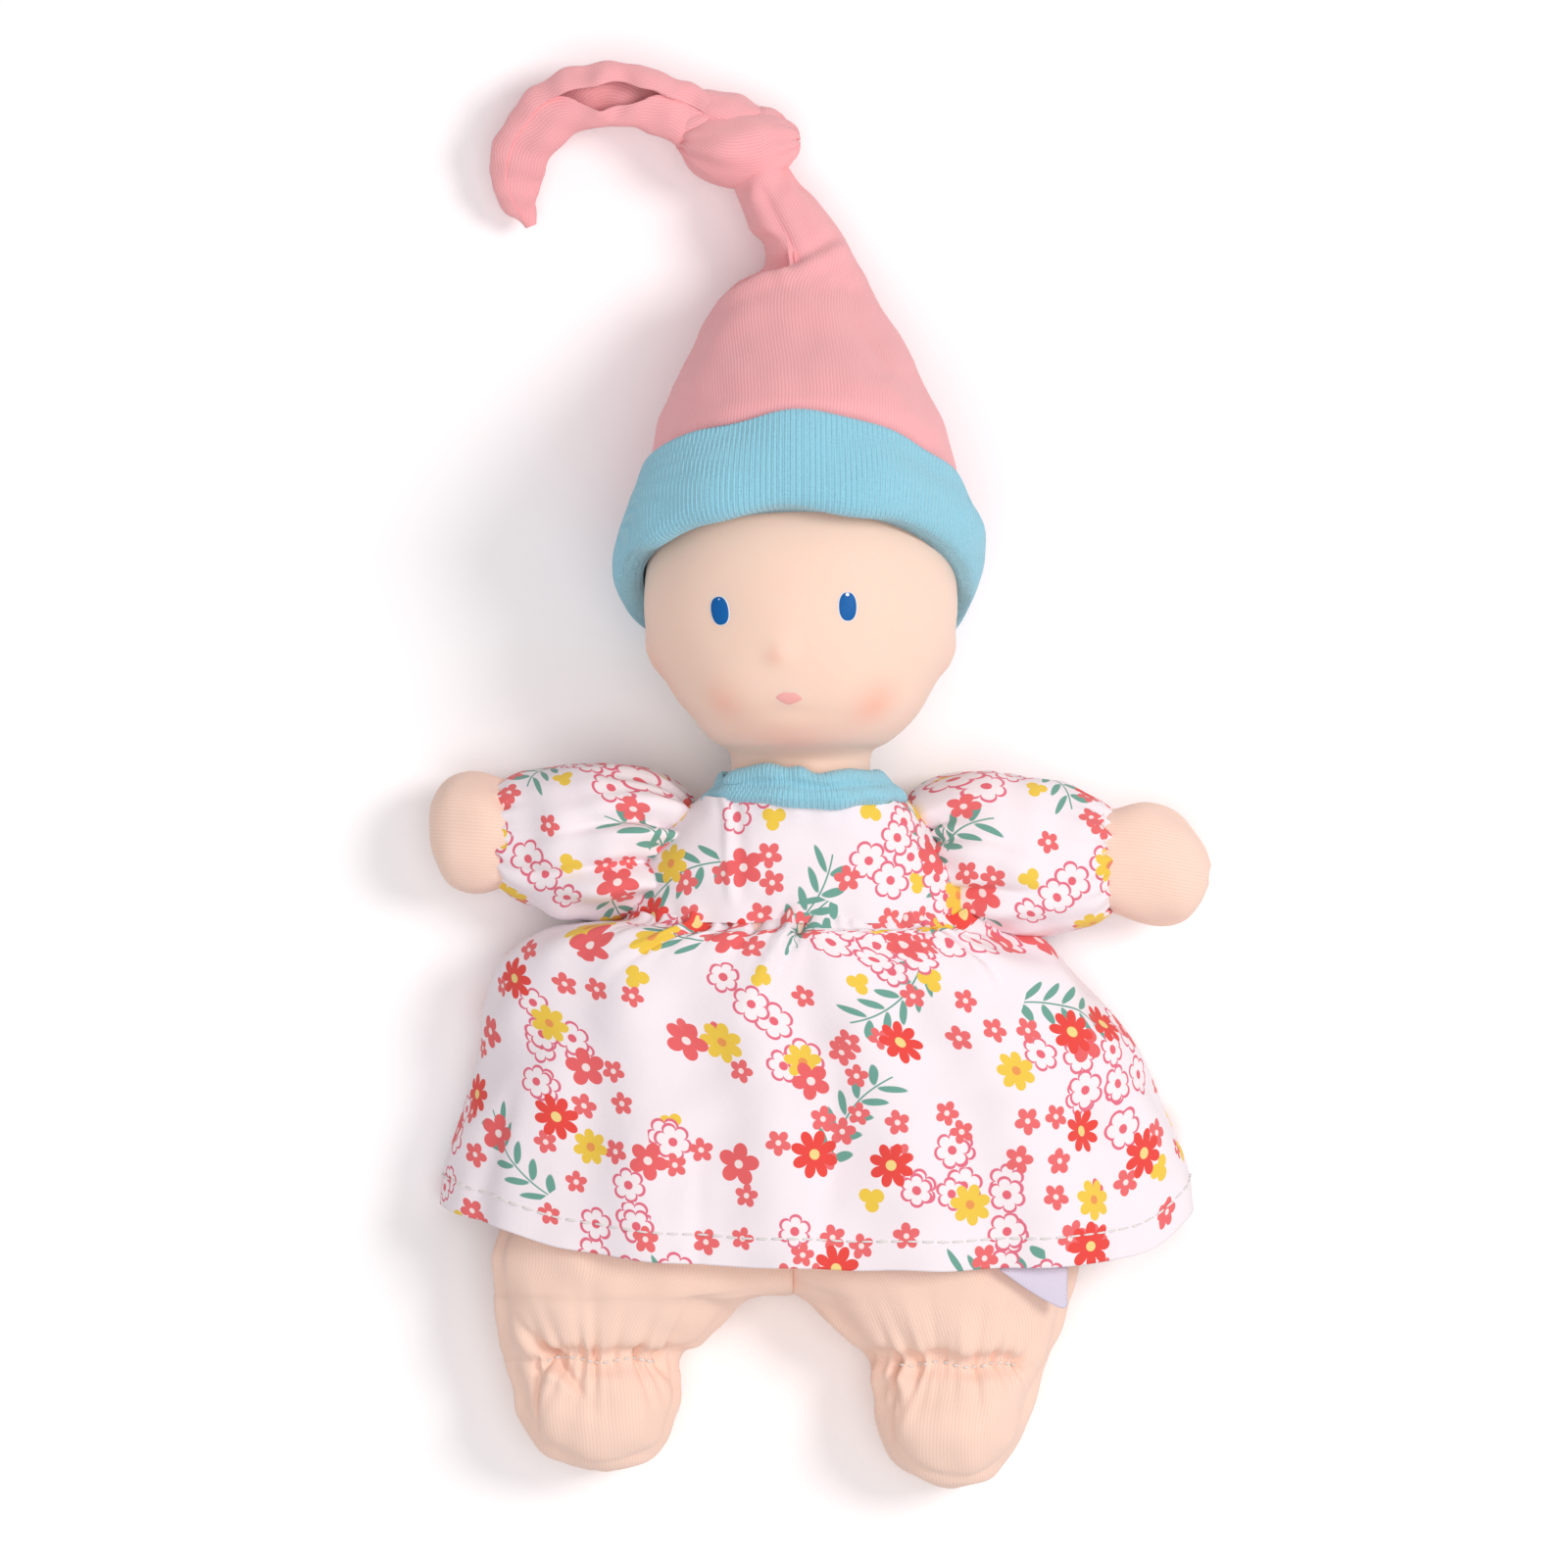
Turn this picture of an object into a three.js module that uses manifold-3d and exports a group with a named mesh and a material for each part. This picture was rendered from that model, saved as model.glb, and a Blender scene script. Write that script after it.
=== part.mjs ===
// A soft baby doll with a rubber head, a knitted body, a cotton dress and a knotted cap.
// It lies on its back: +Y runs to the crown of its head, +Z up from the floor, +X to its own left.
// Sizes are millimetres. The origin is on the floor, under the waist, on the flat back of the dress.

import * as THREE from 'three';
import { mergeVertices } from 'three/addons/utils/BufferGeometryUtils.js';
import Module from 'manifold-3d';

const wasm = await Module();
wasm.setup();

// cloth, rubber and the room between two pieces
const cottonThickness = 0.5;
const knitThickness = 1;
const jerseyThickness = 1.2;
const rubberThickness = 2.6;
const clearance = 0.3;

// torso
const chestHeight = 27;
const bellyHeight = 70.2;
const neckBaseWidth = 31;
const chestWidth = 57;
const waistWidth = 67;
const hipWidth = 116;
const torsoDepth = 35.9;
const hipShift = -3.4;

// legs and feet
const legLength = 18.7;
const footLength = 23.6;
const thighWidth = 61;
const ankleWidth = 33;
const legDepth = 31;
const ankleDepth = 23;
const footWidth = 33;
const footDepth = 28;
const footOuter = 5.4;
const threadThickness = 0.7;

// arms
const armLength = 47.5;
const armWidth = 20;
const armRootRadius = 7.6;
const handWidth = 24;
const handLength = 17;
const handDepth = 20;
const armHeight = 14.5;

// head and neck
const headWidth = 63;
const headHeight = 68;
const headDepth = 60;
const neckWidth = 28.4;
const neckLength = 8.4;
const plugLength = 8;
const tieThickness = 1.2;

// dress
const waistHeight = 4;
const bodiceEase = 0.7;
const skirtWidth = 154;
const skirtShift = 3.2;
const skirtLength = 70;
const skirtRoom = 0.5;
const foldDepth = 2.4;
const foldCount = 5.5;
const foldLean = 0.1;
const flankHeight = 7;
const collarHeight = 8.4;
const collarThickness = 2.4;
const puffWidth = 32.6;
const puffDepth = 29;
const elasticThickness = 0.8;
const elasticWidth = 3;
const closureOverlap = 11;
const stripThickness = 0.6;
const stripWidth = 8;

// hat
const cuffThickness = 3.9;
const cuffHeight = 20.5;
const cuffLean = 0.45;
const crownHeight = 62.5;
const crownFlop = 7.4;
const tailReach = 46;
const tailWidth = 12.6;
const tailThickness = 5.4;
const knotWidth = 20;
const knotBand = 8.6;

// care label
const labelWidth = 14;
const labelLength = 10;
const labelDrop = 1.2;
const labelThickness = 0.4;

// colours
const knitPeach = 0xf6d3c0;
const rubberPeach = 0xf9d3bd;
const cottonWhite = 0xf8f0f3;
const ribTurquoise = 0x84c2d2;
const jerseyPink = 0xf0a6aa;
const threadWhite = 0xf4efec;
const waddingWhite = 0xefece6;

const waistY = waistHeight;
const neckBaseY = waistY + chestHeight;
const chinY = neckBaseY + neckLength;
const hipY = waistY - bellyHeight;
const dressBack = 0;
const skinBack = dressBack + cottonThickness + clearance;
const chestBack = skinBack + cottonThickness + clearance + 2 * (stripThickness + clearance);

// Builds a closed mesh from its vertices and triangles, faces pointing out.
function closedGeometry(points, triangles) {
  const geometry = new THREE.BufferGeometry();
  const places = points.flatMap((point) => point.toArray());
  geometry.setAttribute('position', new THREE.Float32BufferAttribute(places, 3));
  let volume = 0;
  for (const [a, b, c] of triangles) {
    volume += points[a].dot(new THREE.Vector3().crossVectors(points[b], points[c]));
  }
  const outward = volume > 0 ? triangles : triangles.map(([a, b, c]) => [a, c, b]);
  geometry.setIndex(outward.flat());
  return geometry;
}

// Joins two rows of point numbers with a band of triangles. Inside faces look the other way,
// and every quad is split alike, so that two nested pieces keep their distance.
function band(triangles, from, to, count, wrap, inside = false) {
  const last = wrap ? count : count - 1;
  for (let k = 0; k < last; k += 1) {
    const next = (k + 1) % count;
    const pair = [[from + k, from + next, to + next], [from + k, to + next, to + k]];
    pair.forEach(([a, b, c]) => triangles.push(inside ? [a, c, b] : [a, b, c]));
  }
}

function middleOf(ring) {
  const middle = new THREE.Vector3();
  ring.forEach((point) => middle.add(point));
  return middle.divideScalar(ring.length);
}

// A solid body through a row of rings, closed at both ends.
function body(rings) {
  const count = rings[0].length;
  const points = rings.flat();
  const triangles = [];
  for (let i = 0; i < rings.length - 1; i += 1) {
    band(triangles, i * count, (i + 1) * count, count, true);
  }
  const lastStart = (rings.length - 1) * count;
  points.push(middleOf(rings[0]), middleOf(rings[rings.length - 1]));
  for (let k = 0; k < count; k += 1) {
    const next = (k + 1) % count;
    triangles.push([points.length - 2, next, k]);
    triangles.push([points.length - 1, lastStart + k, lastStart + next]);
  }
  return closedGeometry(points, triangles);
}

// A tube of cloth or rubber between two rows of rings, open at its start and, unless capped, at its end.
function shell(outer, inner, capped) {
  const count = outer[0].length;
  const rows = outer.length;
  const points = [...outer.flat(), ...inner.flat()];
  const offset = rows * count;
  const triangles = [];
  for (let i = 0; i < rows - 1; i += 1) {
    band(triangles, i * count, (i + 1) * count, count, true);
    band(triangles, offset + i * count, offset + (i + 1) * count, count, true, true);
  }
  band(triangles, offset, 0, count, true);
  const outerEnd = (rows - 1) * count;
  if (capped) {
    points.push(middleOf(outer[rows - 1]), middleOf(inner[rows - 1]));
    for (let k = 0; k < count; k += 1) {
      const next = (k + 1) % count;
      triangles.push([points.length - 2, outerEnd + k, outerEnd + next]);
      triangles.push([points.length - 1, offset + outerEnd + next, offset + outerEnd + k]);
    }
  } else {
    band(triangles, outerEnd, offset + outerEnd, count, true);
  }
  return closedGeometry(points, triangles);
}

// A panel of cloth: two grids of the same size, joined round all four edges.
function panel(outer, inner) {
  const count = outer[0].length;
  const rows = outer.length;
  const points = [...outer.flat(), ...inner.flat()];
  const offset = rows * count;
  const triangles = [];
  for (let i = 0; i < rows - 1; i += 1) {
    band(triangles, i * count, (i + 1) * count, count, false);
    band(triangles, offset + i * count, offset + (i + 1) * count, count, false, true);
    const here = i * count;
    const above = (i + 1) * count;
    triangles.push([here, above, offset + above], [here, offset + above, offset + here]);
    const right = count - 1;
    triangles.push([above + right, here + right, offset + here + right]);
    triangles.push([above + right, offset + here + right, offset + above + right]);
  }
  band(triangles, offset, 0, count, false);
  band(triangles, (rows - 1) * count, offset + (rows - 1) * count, count, false);
  return closedGeometry(points, triangles);
}

// Fills in a smooth row of stations: every number in them follows one curve.
function smooth(stations, steps) {
  const last = stations.length - 1;
  const row = [];
  for (let i = 0; i < last; i += 1) {
    const around = [i - 1, i, i + 1, i + 2].map((j) => stations[THREE.MathUtils.clamp(j, 0, last)]);
    for (let step = 0; step < steps; step += 1) {
      const t = step / steps;
      const station = {};
      for (const key of Object.keys(stations[0])) {
        const [a, b, c, d] = around.map((entry) => entry[key]);
        station[key] = b + 0.5 * t * (c - a + t * (2 * a - 5 * b + 4 * c - d + t * (3 * (b - c) + d - a)));
      }
      row.push(station);
    }
  }
  row.push({ ...stations[last] });
  return row;
}

// The station of a row at one height, straight between its two neighbours.
function stationAt(row, y) {
  const rising = row[row.length - 1].y > row[0].y;
  const ordered = rising ? row : [...row].reverse();
  let upper = ordered.findIndex((station) => station.y >= y);
  upper = upper < 0 ? ordered.length - 1 : Math.max(upper, 1);
  const low = ordered[upper - 1];
  const high = ordered[upper];
  const t = (y - low.y) / (high.y - low.y);
  const station = {};
  for (const key of Object.keys(low)) {
    station[key] = low[key] + (high[key] - low[key]) * t;
  }
  return station;
}

function powered(value, power) {
  return Math.sign(value) * Math.abs(value) ** (2 / power);
}

// One closed ring: an oval between x - halfWidth and x + halfWidth, and between low and high.
// inset draws it in on all sides, rest is the lowest that it may lie, turn swings it about the upright,
// and lean moves its upper side along y.
function ring(station, inset, count) {
  const { x = 0, y, halfWidth, low, high, power = 2.3, rest = 0, turn = 0, lean = 0 } = station;
  const middle = (low + high) / 2;
  const halfDepth = (high - low) / 2 - inset;
  const points = [];
  for (let k = 0; k < count; k += 1) {
    const angle = (2 * Math.PI * k) / count;
    const across = powered(Math.cos(angle), power) * (halfWidth - inset);
    const z = Math.max(middle + powered(Math.sin(angle), power) * halfDepth, rest + inset);
    const along = lean * (z - middle);
    points.push(new THREE.Vector3(x + across * Math.cos(turn), y + across * Math.sin(turn) + along, z));
  }
  return points;
}

function rings(row, inset, count) {
  return row.map((station) => ring(station, inset, count));
}

// A cup of one thickness round a row of stations: its inside stops short of the closed end.
function cup(row, thickness, count) {
  const end = row[row.length - 1];
  const before = row[row.length - 2];
  const share = Math.min(thickness / Math.hypot(end.x - before.x, end.y - before.y), 0.8);
  const inner = rings(row, thickness, count);
  const floor = inner[inner.length - 2];
  inner[inner.length - 1] = inner[inner.length - 1].map((point, k) => point.clone().lerp(floor[k], share));
  return shell(rings(row, 0, count), inner, true);
}

function toSolid(geometry) {
  const bare = geometry.clone();
  bare.deleteAttribute('normal');
  bare.deleteAttribute('uv');
  const merged = mergeVertices(bare, 1e-4);
  return new wasm.Manifold(new wasm.Mesh({
    numProp: 3,
    vertProperties: new Float32Array(merged.attributes.position.array),
    triVerts: new Uint32Array(merged.index.array),
  }));
}

function toGeometry(solid) {
  const mesh = solid.getMesh();
  const geometry = new THREE.BufferGeometry();
  geometry.setAttribute('position', new THREE.BufferAttribute(mesh.vertProperties, 3));
  geometry.setIndex(new THREE.BufferAttribute(mesh.triVerts, 1));
  return geometry;
}

function ball(radius, centre, segments = 16) {
  return new THREE.SphereGeometry(radius, segments, segments / 2).translate(centre.x, centre.y, centre.z);
}

// A ball whose flat facets all lie outside the radius, to cut a hollow with.
function hollowCutter(radius, centre) {
  const segments = 24;
  return ball(radius / Math.cos(Math.PI / segments) ** 2, centre, segments);
}

function withoutAll(geometry, cutters) {
  return toGeometry(cutters.reduce((solid, cutter) => solid.subtract(toSolid(cutter)), toSolid(geometry)));
}

const doll = new THREE.Group();

function add(name, geometry, color, roughness = 0.9) {
  const material = new THREE.MeshStandardMaterial({ color, roughness, metalness: 0 });
  const mesh = new THREE.Mesh(geometry, material);
  mesh.name = name;
  doll.add(mesh);
}

// Torso: a knit bag, widest at the hips, drawn in to the neck.
const torsoHigh = skinBack + torsoDepth;
const neckMiddle = skinBack + torsoDepth * 0.66;
const torsoStations = [
  { y: hipY, x: hipShift, halfWidth: hipWidth / 2, high: torsoHigh - 3 },
  { y: hipY + bellyHeight * 0.2, x: hipShift * 0.9, halfWidth: hipWidth * 0.49, high: torsoHigh - 1 },
  { y: hipY + bellyHeight * 0.45, x: hipShift * 0.6, halfWidth: hipWidth * 0.42 },
  { y: hipY + bellyHeight * 0.72, x: hipShift * 0.3, halfWidth: waistWidth * 0.58 },
  { y: waistY, halfWidth: waistWidth / 2 },
  { y: waistY + chestHeight * 0.52, halfWidth: chestWidth / 2, low: 0 },
  { y: waistY + chestHeight * 0.8, halfWidth: chestWidth * 0.385, low: 2.4 },
  {
    y: neckBaseY,
    halfWidth: neckBaseWidth / 2,
    low: neckMiddle - neckBaseWidth / 2,
    high: neckMiddle + neckBaseWidth / 2,
  },
].map((station, i) => ({
  x: 0,
  low: -0.4,
  high: torsoHigh,
  ...station,
  rest: THREE.MathUtils.lerp(skinBack, chestBack, Math.min(Math.max(i - 1, 0) / 3, 1)),
  power: 2.3,
}));
const torsoRow = smooth(torsoStations, 1);
const torsoCount = 22;
const fillingInset = knitThickness + clearance;

// Shoulders: each arm turns on a ball that sits in a hollow of the torso's side.
const shoulderY = waistY + chestHeight * 0.56;
const shoulderSide = stationAt(torsoRow, shoulderY).halfWidth + 2.6;
const shoulders = [
  { side: 'left', sign: 1, rise: -0.085, stretch: 1.07 },
  { side: 'right', sign: -1, rise: 0.075, stretch: 0.96 },
].map((shoulder) => ({
  ...shoulder,
  pivot: new THREE.Vector3(shoulder.sign * shoulderSide, shoulderY, armHeight),
}));
const sockets = shoulders.map(({ pivot }) => hollowCutter(armRootRadius + clearance, pivot));

const torsoInside = rings(torsoRow, knitThickness, torsoCount);
const torsoBag = shell(rings(torsoRow, 0, torsoCount), torsoInside, false);
add('torso_skin', withoutAll(torsoBag, sockets), knitPeach);

// Neck: a stuffed knit plug, round below where it turns in the filling, with a waist above,
// on which a cord ties the head.
const neckRadius = neckWidth / 2;
const boreRadius = neckRadius - rubberThickness;
const plugRadius = boreRadius - 2 * clearance;
const tieY = chinY - neckLength * 0.4;
const tieDepth = tieThickness + clearance;
const plugEnd = tieY + plugLength;
const neckPivot = new THREE.Vector3(0, neckBaseY + neckLength / 2, neckMiddle);

const fillingRow = torsoRow.map((station, i) => ({
  ...station,
  y: station.y - (i === torsoRow.length - 1 ? clearance : 0),
}));
const torsoFilling = body(rings(fillingRow, fillingInset, torsoCount));
const neckHollow = hollowCutter(plugRadius + clearance, neckPivot);
add('torso_filling', withoutAll(torsoFilling, [...sockets, neckHollow]), waddingWhite);

function turned(profile, segments, centreZ) {
  const points = profile.map(([radius, y]) => new THREE.Vector2(radius, y));
  return new THREE.LatheGeometry(points, segments).translate(0, 0, centreZ);
}

const plugDome = [-90, -66, -44, -22].map((degrees) => {
  const angle = THREE.MathUtils.degToRad(degrees);
  return [plugRadius * Math.cos(angle), neckPivot.y + plugRadius * Math.sin(angle)];
});
const plugProfile = [
  ...plugDome,
  [plugRadius, tieY - tieThickness],
  [plugRadius - tieDepth, tieY - tieThickness * 0.4],
  [plugRadius - tieDepth, tieY + tieThickness * 0.4],
  [plugRadius, tieY + tieThickness],
  [plugRadius, plugEnd - plugRadius * 0.4],
  [plugRadius * 0.7, plugEnd - plugRadius * 0.1],
  [0, plugEnd],
];
add('neck_plug', turned(plugProfile, 16, neckMiddle), knitPeach);
const tieInner = plugRadius - tieDepth + clearance;
const tieProfile = [
  [tieInner, tieY - tieThickness * 0.3],
  [tieInner + tieThickness, tieY - tieThickness * 0.3],
  [tieInner + tieThickness, tieY + tieThickness * 0.3],
  [tieInner, tieY + tieThickness * 0.3],
  [tieInner, tieY - tieThickness * 0.3],
];
add('neck_tie', turned(tieProfile, 16, neckMiddle), threadWhite);

// Head: a hollow rubber shell, open at the neck, flat nowhere, with small ears and a small nose.
const headBack = cuffThickness + jerseyThickness + 3 * clearance;
const headMiddle = headBack + headDepth / 2;
const headFront = headBack + headDepth;
function headStation(height, width, back, front) {
  return {
    x: 0,
    y: chinY + headHeight * height,
    halfWidth: (headWidth / 2) * width,
    low: headMiddle - (headDepth / 2) * back,
    high: headMiddle + (headDepth / 2) * front,
    power: 2.1,
  };
}
const neckStation = {
  x: 0,
  halfWidth: neckRadius,
  low: neckMiddle - neckRadius,
  high: neckMiddle + neckRadius,
  power: 2,
};
const headStations = [
  { ...neckStation, y: chinY - neckLength * 0.1 },
  headStation(0.055, 0.6, 0.86, 0.52),
  headStation(0.16, 0.8, 0.92, 0.86),
  headStation(0.3, 0.965, 0.98, 0.97),
  headStation(0.45, 1, 1, 1),
  headStation(0.66, 0.93, 0.95, 0.93),
  headStation(0.84, 0.7, 0.72, 0.71),
  headStation(0.95, 0.4, 0.42, 0.42),
  headStation(0.99, 0.16, 0.17, 0.17),
];
const headRow = [{ ...neckStation, y: chinY - neckLength * 0.7 }, ...smooth(headStations, 2)];
const headCount = 24;
const headShell = cup(headRow, rubberThickness, headCount);
const earY = chinY + headHeight * 0.3;
const earReach = headWidth / 2 - 1.3;
const ears = [-1, 1].map((sign) => ball(2.4, new THREE.Vector3(sign * earReach, earY, headMiddle), 8));
const faceTurn = -3.6;
const nose = ball(2, new THREE.Vector3(faceTurn, chinY + headHeight * 0.28, headFront - 1.2), 8);
const bumps = [...ears, nose].map((bump) => toSolid(bump));
const head = bumps.reduce((solid, bump) => solid.add(bump), toSolid(headShell));
add('head_shell', toGeometry(head), rubberPeach, 0.6);

// Arms: a tapering limb with a rounded hand, turning on the ball at its root.
const wristReach = armLength - handLength;
const armCount = 16;
function limbStations({ sign, rise, stretch, pivot }) {
  const place = (along, radius, depth) => ({
    x: pivot.x + sign * along * (along > 0 ? stretch : 1),
    y: pivot.y + rise * Math.max(along, 0),
    halfWidth: radius,
    low: pivot.z - depth,
    high: pivot.z + depth,
    power: 2,
    rest: 0,
    turn: Math.PI / 2,
  });
  const root = armRootRadius;
  const arm = armWidth / 2;
  const hand = handWidth / 2;
  const deep = handDepth / 2;
  return [
    place(-root * 0.82, root * 0.57, root * 0.57),
    place(-root * 0.4, root * 0.91, root * 0.91),
    place(root * 0.2, root * 0.98, root * 0.98),
    place(wristReach * 0.45, arm * 0.95, arm * 0.95),
    place(wristReach, arm, arm * 0.95),
    place(wristReach + handLength * 0.4, hand, deep),
    place(wristReach + handLength * 0.75, hand * 0.86, deep * 0.86),
    place(armLength - 0.8, hand * 0.42, deep * 0.42),
    place(armLength, hand * 0.12, deep * 0.12),
  ];
}
for (const shoulder of shoulders) {
  const row = limbStations(shoulder);
  add(`${shoulder.side}_arm_skin`, cup(row, knitThickness, armCount), knitPeach);
  const inside = row.slice(0, -2);
  add(`${shoulder.side}_arm_filling`, body(rings(inside, fillingInset, armCount)), waddingWhite);
}

// Legs: a wide thigh, drawn in by a gathering thread over a round foot, all one knit skin.
// The thighs meet at the crotch, where each is cut at the doll's middle. Each leg folds up
// on the crease of its front, level with the skirt's hem.
const crotchX = hipShift + 1.7;
const legTop = hipY - clearance;
const legs = [
  { side: 'left', sign: 1, drop: 3, splay: -3 },
  { side: 'right', sign: -1, drop: 0, splay: 0.8 },
];
function legStations({ sign, drop, splay }) {
  const outerHip = hipWidth / 2 + sign * hipShift;
  const place = (down, outer, width, high, rest) => ({
    x: sign * (outerHip - outer - width / 2),
    y: legTop - down,
    halfWidth: width / 2,
    low: -0.6,
    high,
    power: 2.2,
    rest,
  });
  const overMiddle = thighWidth + 3;
  const ankle = legLength + drop * 0.35;
  const foot = footLength + drop * 0.65;
  const footMiddle = footOuter - splay - 1.4 + footWidth / 2;
  const inFoot = (down, width, depth) => place(
    ankle + foot * down,
    footMiddle - (footWidth * width) / 2,
    footWidth * width,
    footDepth * depth,
    0,
  );
  return [
    place(0, 0, overMiddle, torsoHigh - 4.5, skinBack),
    place(ankle * 0.3, 0.2, thighWidth * 0.92, legDepth, skinBack / 2),
    place(ankle * 0.6, 1.2, thighWidth * 0.75, legDepth * 0.96, 0),
    place(ankle * 0.85, 2.6, ankleWidth * 1.2, legDepth * 0.87, 0),
    place(ankle, footOuter - splay * 0.4 - 1.6, ankleWidth * 1.03, ankleDepth, 0),
    inFoot(0.2, 1, 0.92),
    inFoot(0.46, 1, 1),
    inFoot(0.72, 0.88, 0.94),
    inFoot(0.89, 0.66, 0.82),
    inFoot(0.97, 0.42, 0.68),
    inFoot(1, 0.2, 0.58),
  ];
}
const blockSize = 3 * thighWidth;
function farHalf(sign) {
  const block = new THREE.BoxGeometry(blockSize, blockSize, blockSize);
  return block.translate(crotchX - sign * (blockSize / 2 - clearance / 2), hipY - blockSize / 4, 0);
}
const legCount = 20;
const legRows = {};
for (const leg of legs) {
  const row = legStations(leg);
  legRows[leg.side] = row;
  const cutter = farHalf(leg.sign);
  add(`${leg.side}_leg_skin`, withoutAll(cup(row, knitThickness, legCount), [cutter]), knitPeach);
  const inside = row.slice(0, -2).map((station, i) => ({
    ...station,
    y: station.y - (i === 0 ? clearance : 0),
  }));
  const filling = body(rings(inside, fillingInset, legCount));
  add(`${leg.side}_leg_filling`, withoutAll(filling, [cutter]), waddingWhite);
}

// Ankle thread: a gathering stitch across the front of each ankle.
const threadWidth = 0.9;
const threadReach = 4;
for (const { side } of legs) {
  const row = legRows[side];
  const ankle = row[4];
  const grid = (inset) => [-threadWidth / 2, threadWidth / 2].map((shift) => {
    const station = stationAt(row, ankle.y + shift);
    return ring(station, inset, legCount).slice(2, 2 + threadReach * 2);
  });
  const outside = -clearance * 2;
  add(`${side}_ankle_thread`, panel(grid(outside - threadThickness), grid(outside)), threadWhite);
}

// Care label: a blank folded satin tape, sewn into the side of the left thigh and lying on its front.
function frontOf(row, y, x, lift) {
  const station = stationAt(row, y);
  const across = Math.min(Math.abs(x - station.x) / station.halfWidth, 0.995);
  const middle = (station.low + station.high) / 2;
  const rise = (1 - across ** station.power) ** (1 / station.power);
  return middle + rise * ((station.high - station.low) / 2) + lift;
}
const labelLift = 3 * clearance;
const labelTop = hipY - labelDrop;
const labelRoot = stationAt(legRows.left, labelTop - labelLength / 2);
const labelEdgeX = labelRoot.x + labelRoot.halfWidth * 0.93;
function labelGrid(lift) {
  const rowsDown = [0, 0.34, 0.67, 1];
  return rowsDown.map((down) => {
    const y = labelTop - labelLength * down;
    return [0, 0.33, 0.66, 1].map((across) => {
      const x = labelEdgeX - labelWidth * across * (1.15 - down);
      return new THREE.Vector3(x, y, frontOf(legRows.left, y, x, lift));
    });
  });
}
add('care_label', panel(labelGrid(labelLift + labelThickness), labelGrid(labelLift)), cottonWhite, 0.5);

// Bodice: cut from the torso's own shape, let out by its ease, in a front and two backs.
const clothRoom = clearance + cottonThickness;
const bodiceTop = neckBaseY - 2.6;
const bodiceBottom = waistY + clearance;
function bodiceStation(y) {
  const inside = stationAt(torsoRow, y);
  return {
    ...inside,
    y,
    halfWidth: inside.halfWidth + clothRoom + bodiceEase,
    low: inside.low - clothRoom,
    high: inside.high + clothRoom,
    rest: dressBack,
  };
}
const torsoHeights = torsoRow.map((station) => station.y);
const between = torsoHeights.filter((y) => y > bodiceBottom + 1 && y < bodiceTop - 1);
const bodiceRow = [bodiceBottom, ...between, bodiceTop].map((y) => bodiceStation(y));
const armholes = shoulders.map(({ pivot }) => hollowCutter(armRootRadius + 4 * clearance, pivot));
const bodice = shell(rings(bodiceRow, 0, torsoCount), rings(bodiceRow, cottonThickness, torsoCount), false);
const seamHeight = torsoHigh * 0.5;
function block(low, high) {
  const size = new THREE.Vector3().subVectors(high, low);
  const middle = new THREE.Vector3().addVectors(low, high).multiplyScalar(0.5);
  return new THREE.BoxGeometry(size.x, size.y, size.z).translate(middle.x, middle.y, middle.z);
}
const far = 100;
const farLow = new THREE.Vector3(-far, -far, -far);
const farHigh = new THREE.Vector3(far, far, far);
const frontBlock = block(new THREE.Vector3(-far, -far, seamHeight - clearance / 2), farHigh);
const backBlock = block(farLow, new THREE.Vector3(far, far, seamHeight + clearance / 2));
const lapHalf = closureOverlap / 2;
const leftOf = block(new THREE.Vector3(lapHalf, -far, -far), farHigh);
const rightOf = block(farLow, new THREE.Vector3(lapHalf + clearance * 3, far, far));
add('bodice_front', withoutAll(bodice, [...armholes, backBlock]), cottonWhite);
add('bodice_back_right', withoutAll(bodice, [...armholes, frontBlock, leftOf]), cottonWhite);

// The left back steps in over the right one and carries the hook strip under its lap.
const lapHeight = chestBack - clearance - cottonThickness;
const lapTop = waistY + chestHeight * 0.6;
const lapLine = [
  [lapHalf + 7, dressBack],
  [lapHalf + 3.6, dressBack],
  [lapHalf, lapHeight],
  [-lapHalf, lapHeight],
];
function lapGrid(lift) {
  return [bodiceBottom, lapTop].map((y) => lapLine.map(([x, z]) => new THREE.Vector3(x, y, z + lift)));
}
const leftBack = toSolid(withoutAll(bodice, [...armholes, frontBlock, rightOf]));
const lap = toSolid(panel(lapGrid(cottonThickness), lapGrid(0)));
add('bodice_back_left', toGeometry(leftBack.add(lap)), cottonWhite);
const stripBottom = bodiceBottom + 1;
function strip(z) {
  const low = new THREE.Vector3(-stripWidth / 2, stripBottom, z);
  return block(low, new THREE.Vector3(stripWidth / 2, lapTop - 1, z + stripThickness));
}
const loopBottom = dressBack + cottonThickness + clearance;
add('loop_strip', strip(loopBottom), cottonWhite);
add('hook_strip', strip(loopBottom + stripThickness + clearance), cottonWhite);

// Collar: a doubled rib band that stands round the neck on the bodice's edge.
const collarStart = bodiceTop + clearance;
function collarStation(rise) {
  const y = collarStart + collarHeight * rise;
  const inside = stationAt(torsoRow, Math.min(y, neckBaseY));
  const spread = clearance + collarThickness - 0.9 * rise * rise;
  return {
    ...inside,
    y,
    halfWidth: inside.halfWidth + spread,
    low: inside.low - spread,
    high: inside.high + spread,
    rest: dressBack,
  };
}
const seatRise = (neckBaseY - collarStart) / collarHeight;
const collarRow = [0, seatRise, 0.65, 1].map((rise) => collarStation(rise));
const collarInsides = collarRow.map((station) => ring(station, collarThickness, torsoCount));
add('collar_band', shell(rings(collarRow, 0, torsoCount), collarInsides, false), ribTurquoise);

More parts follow.
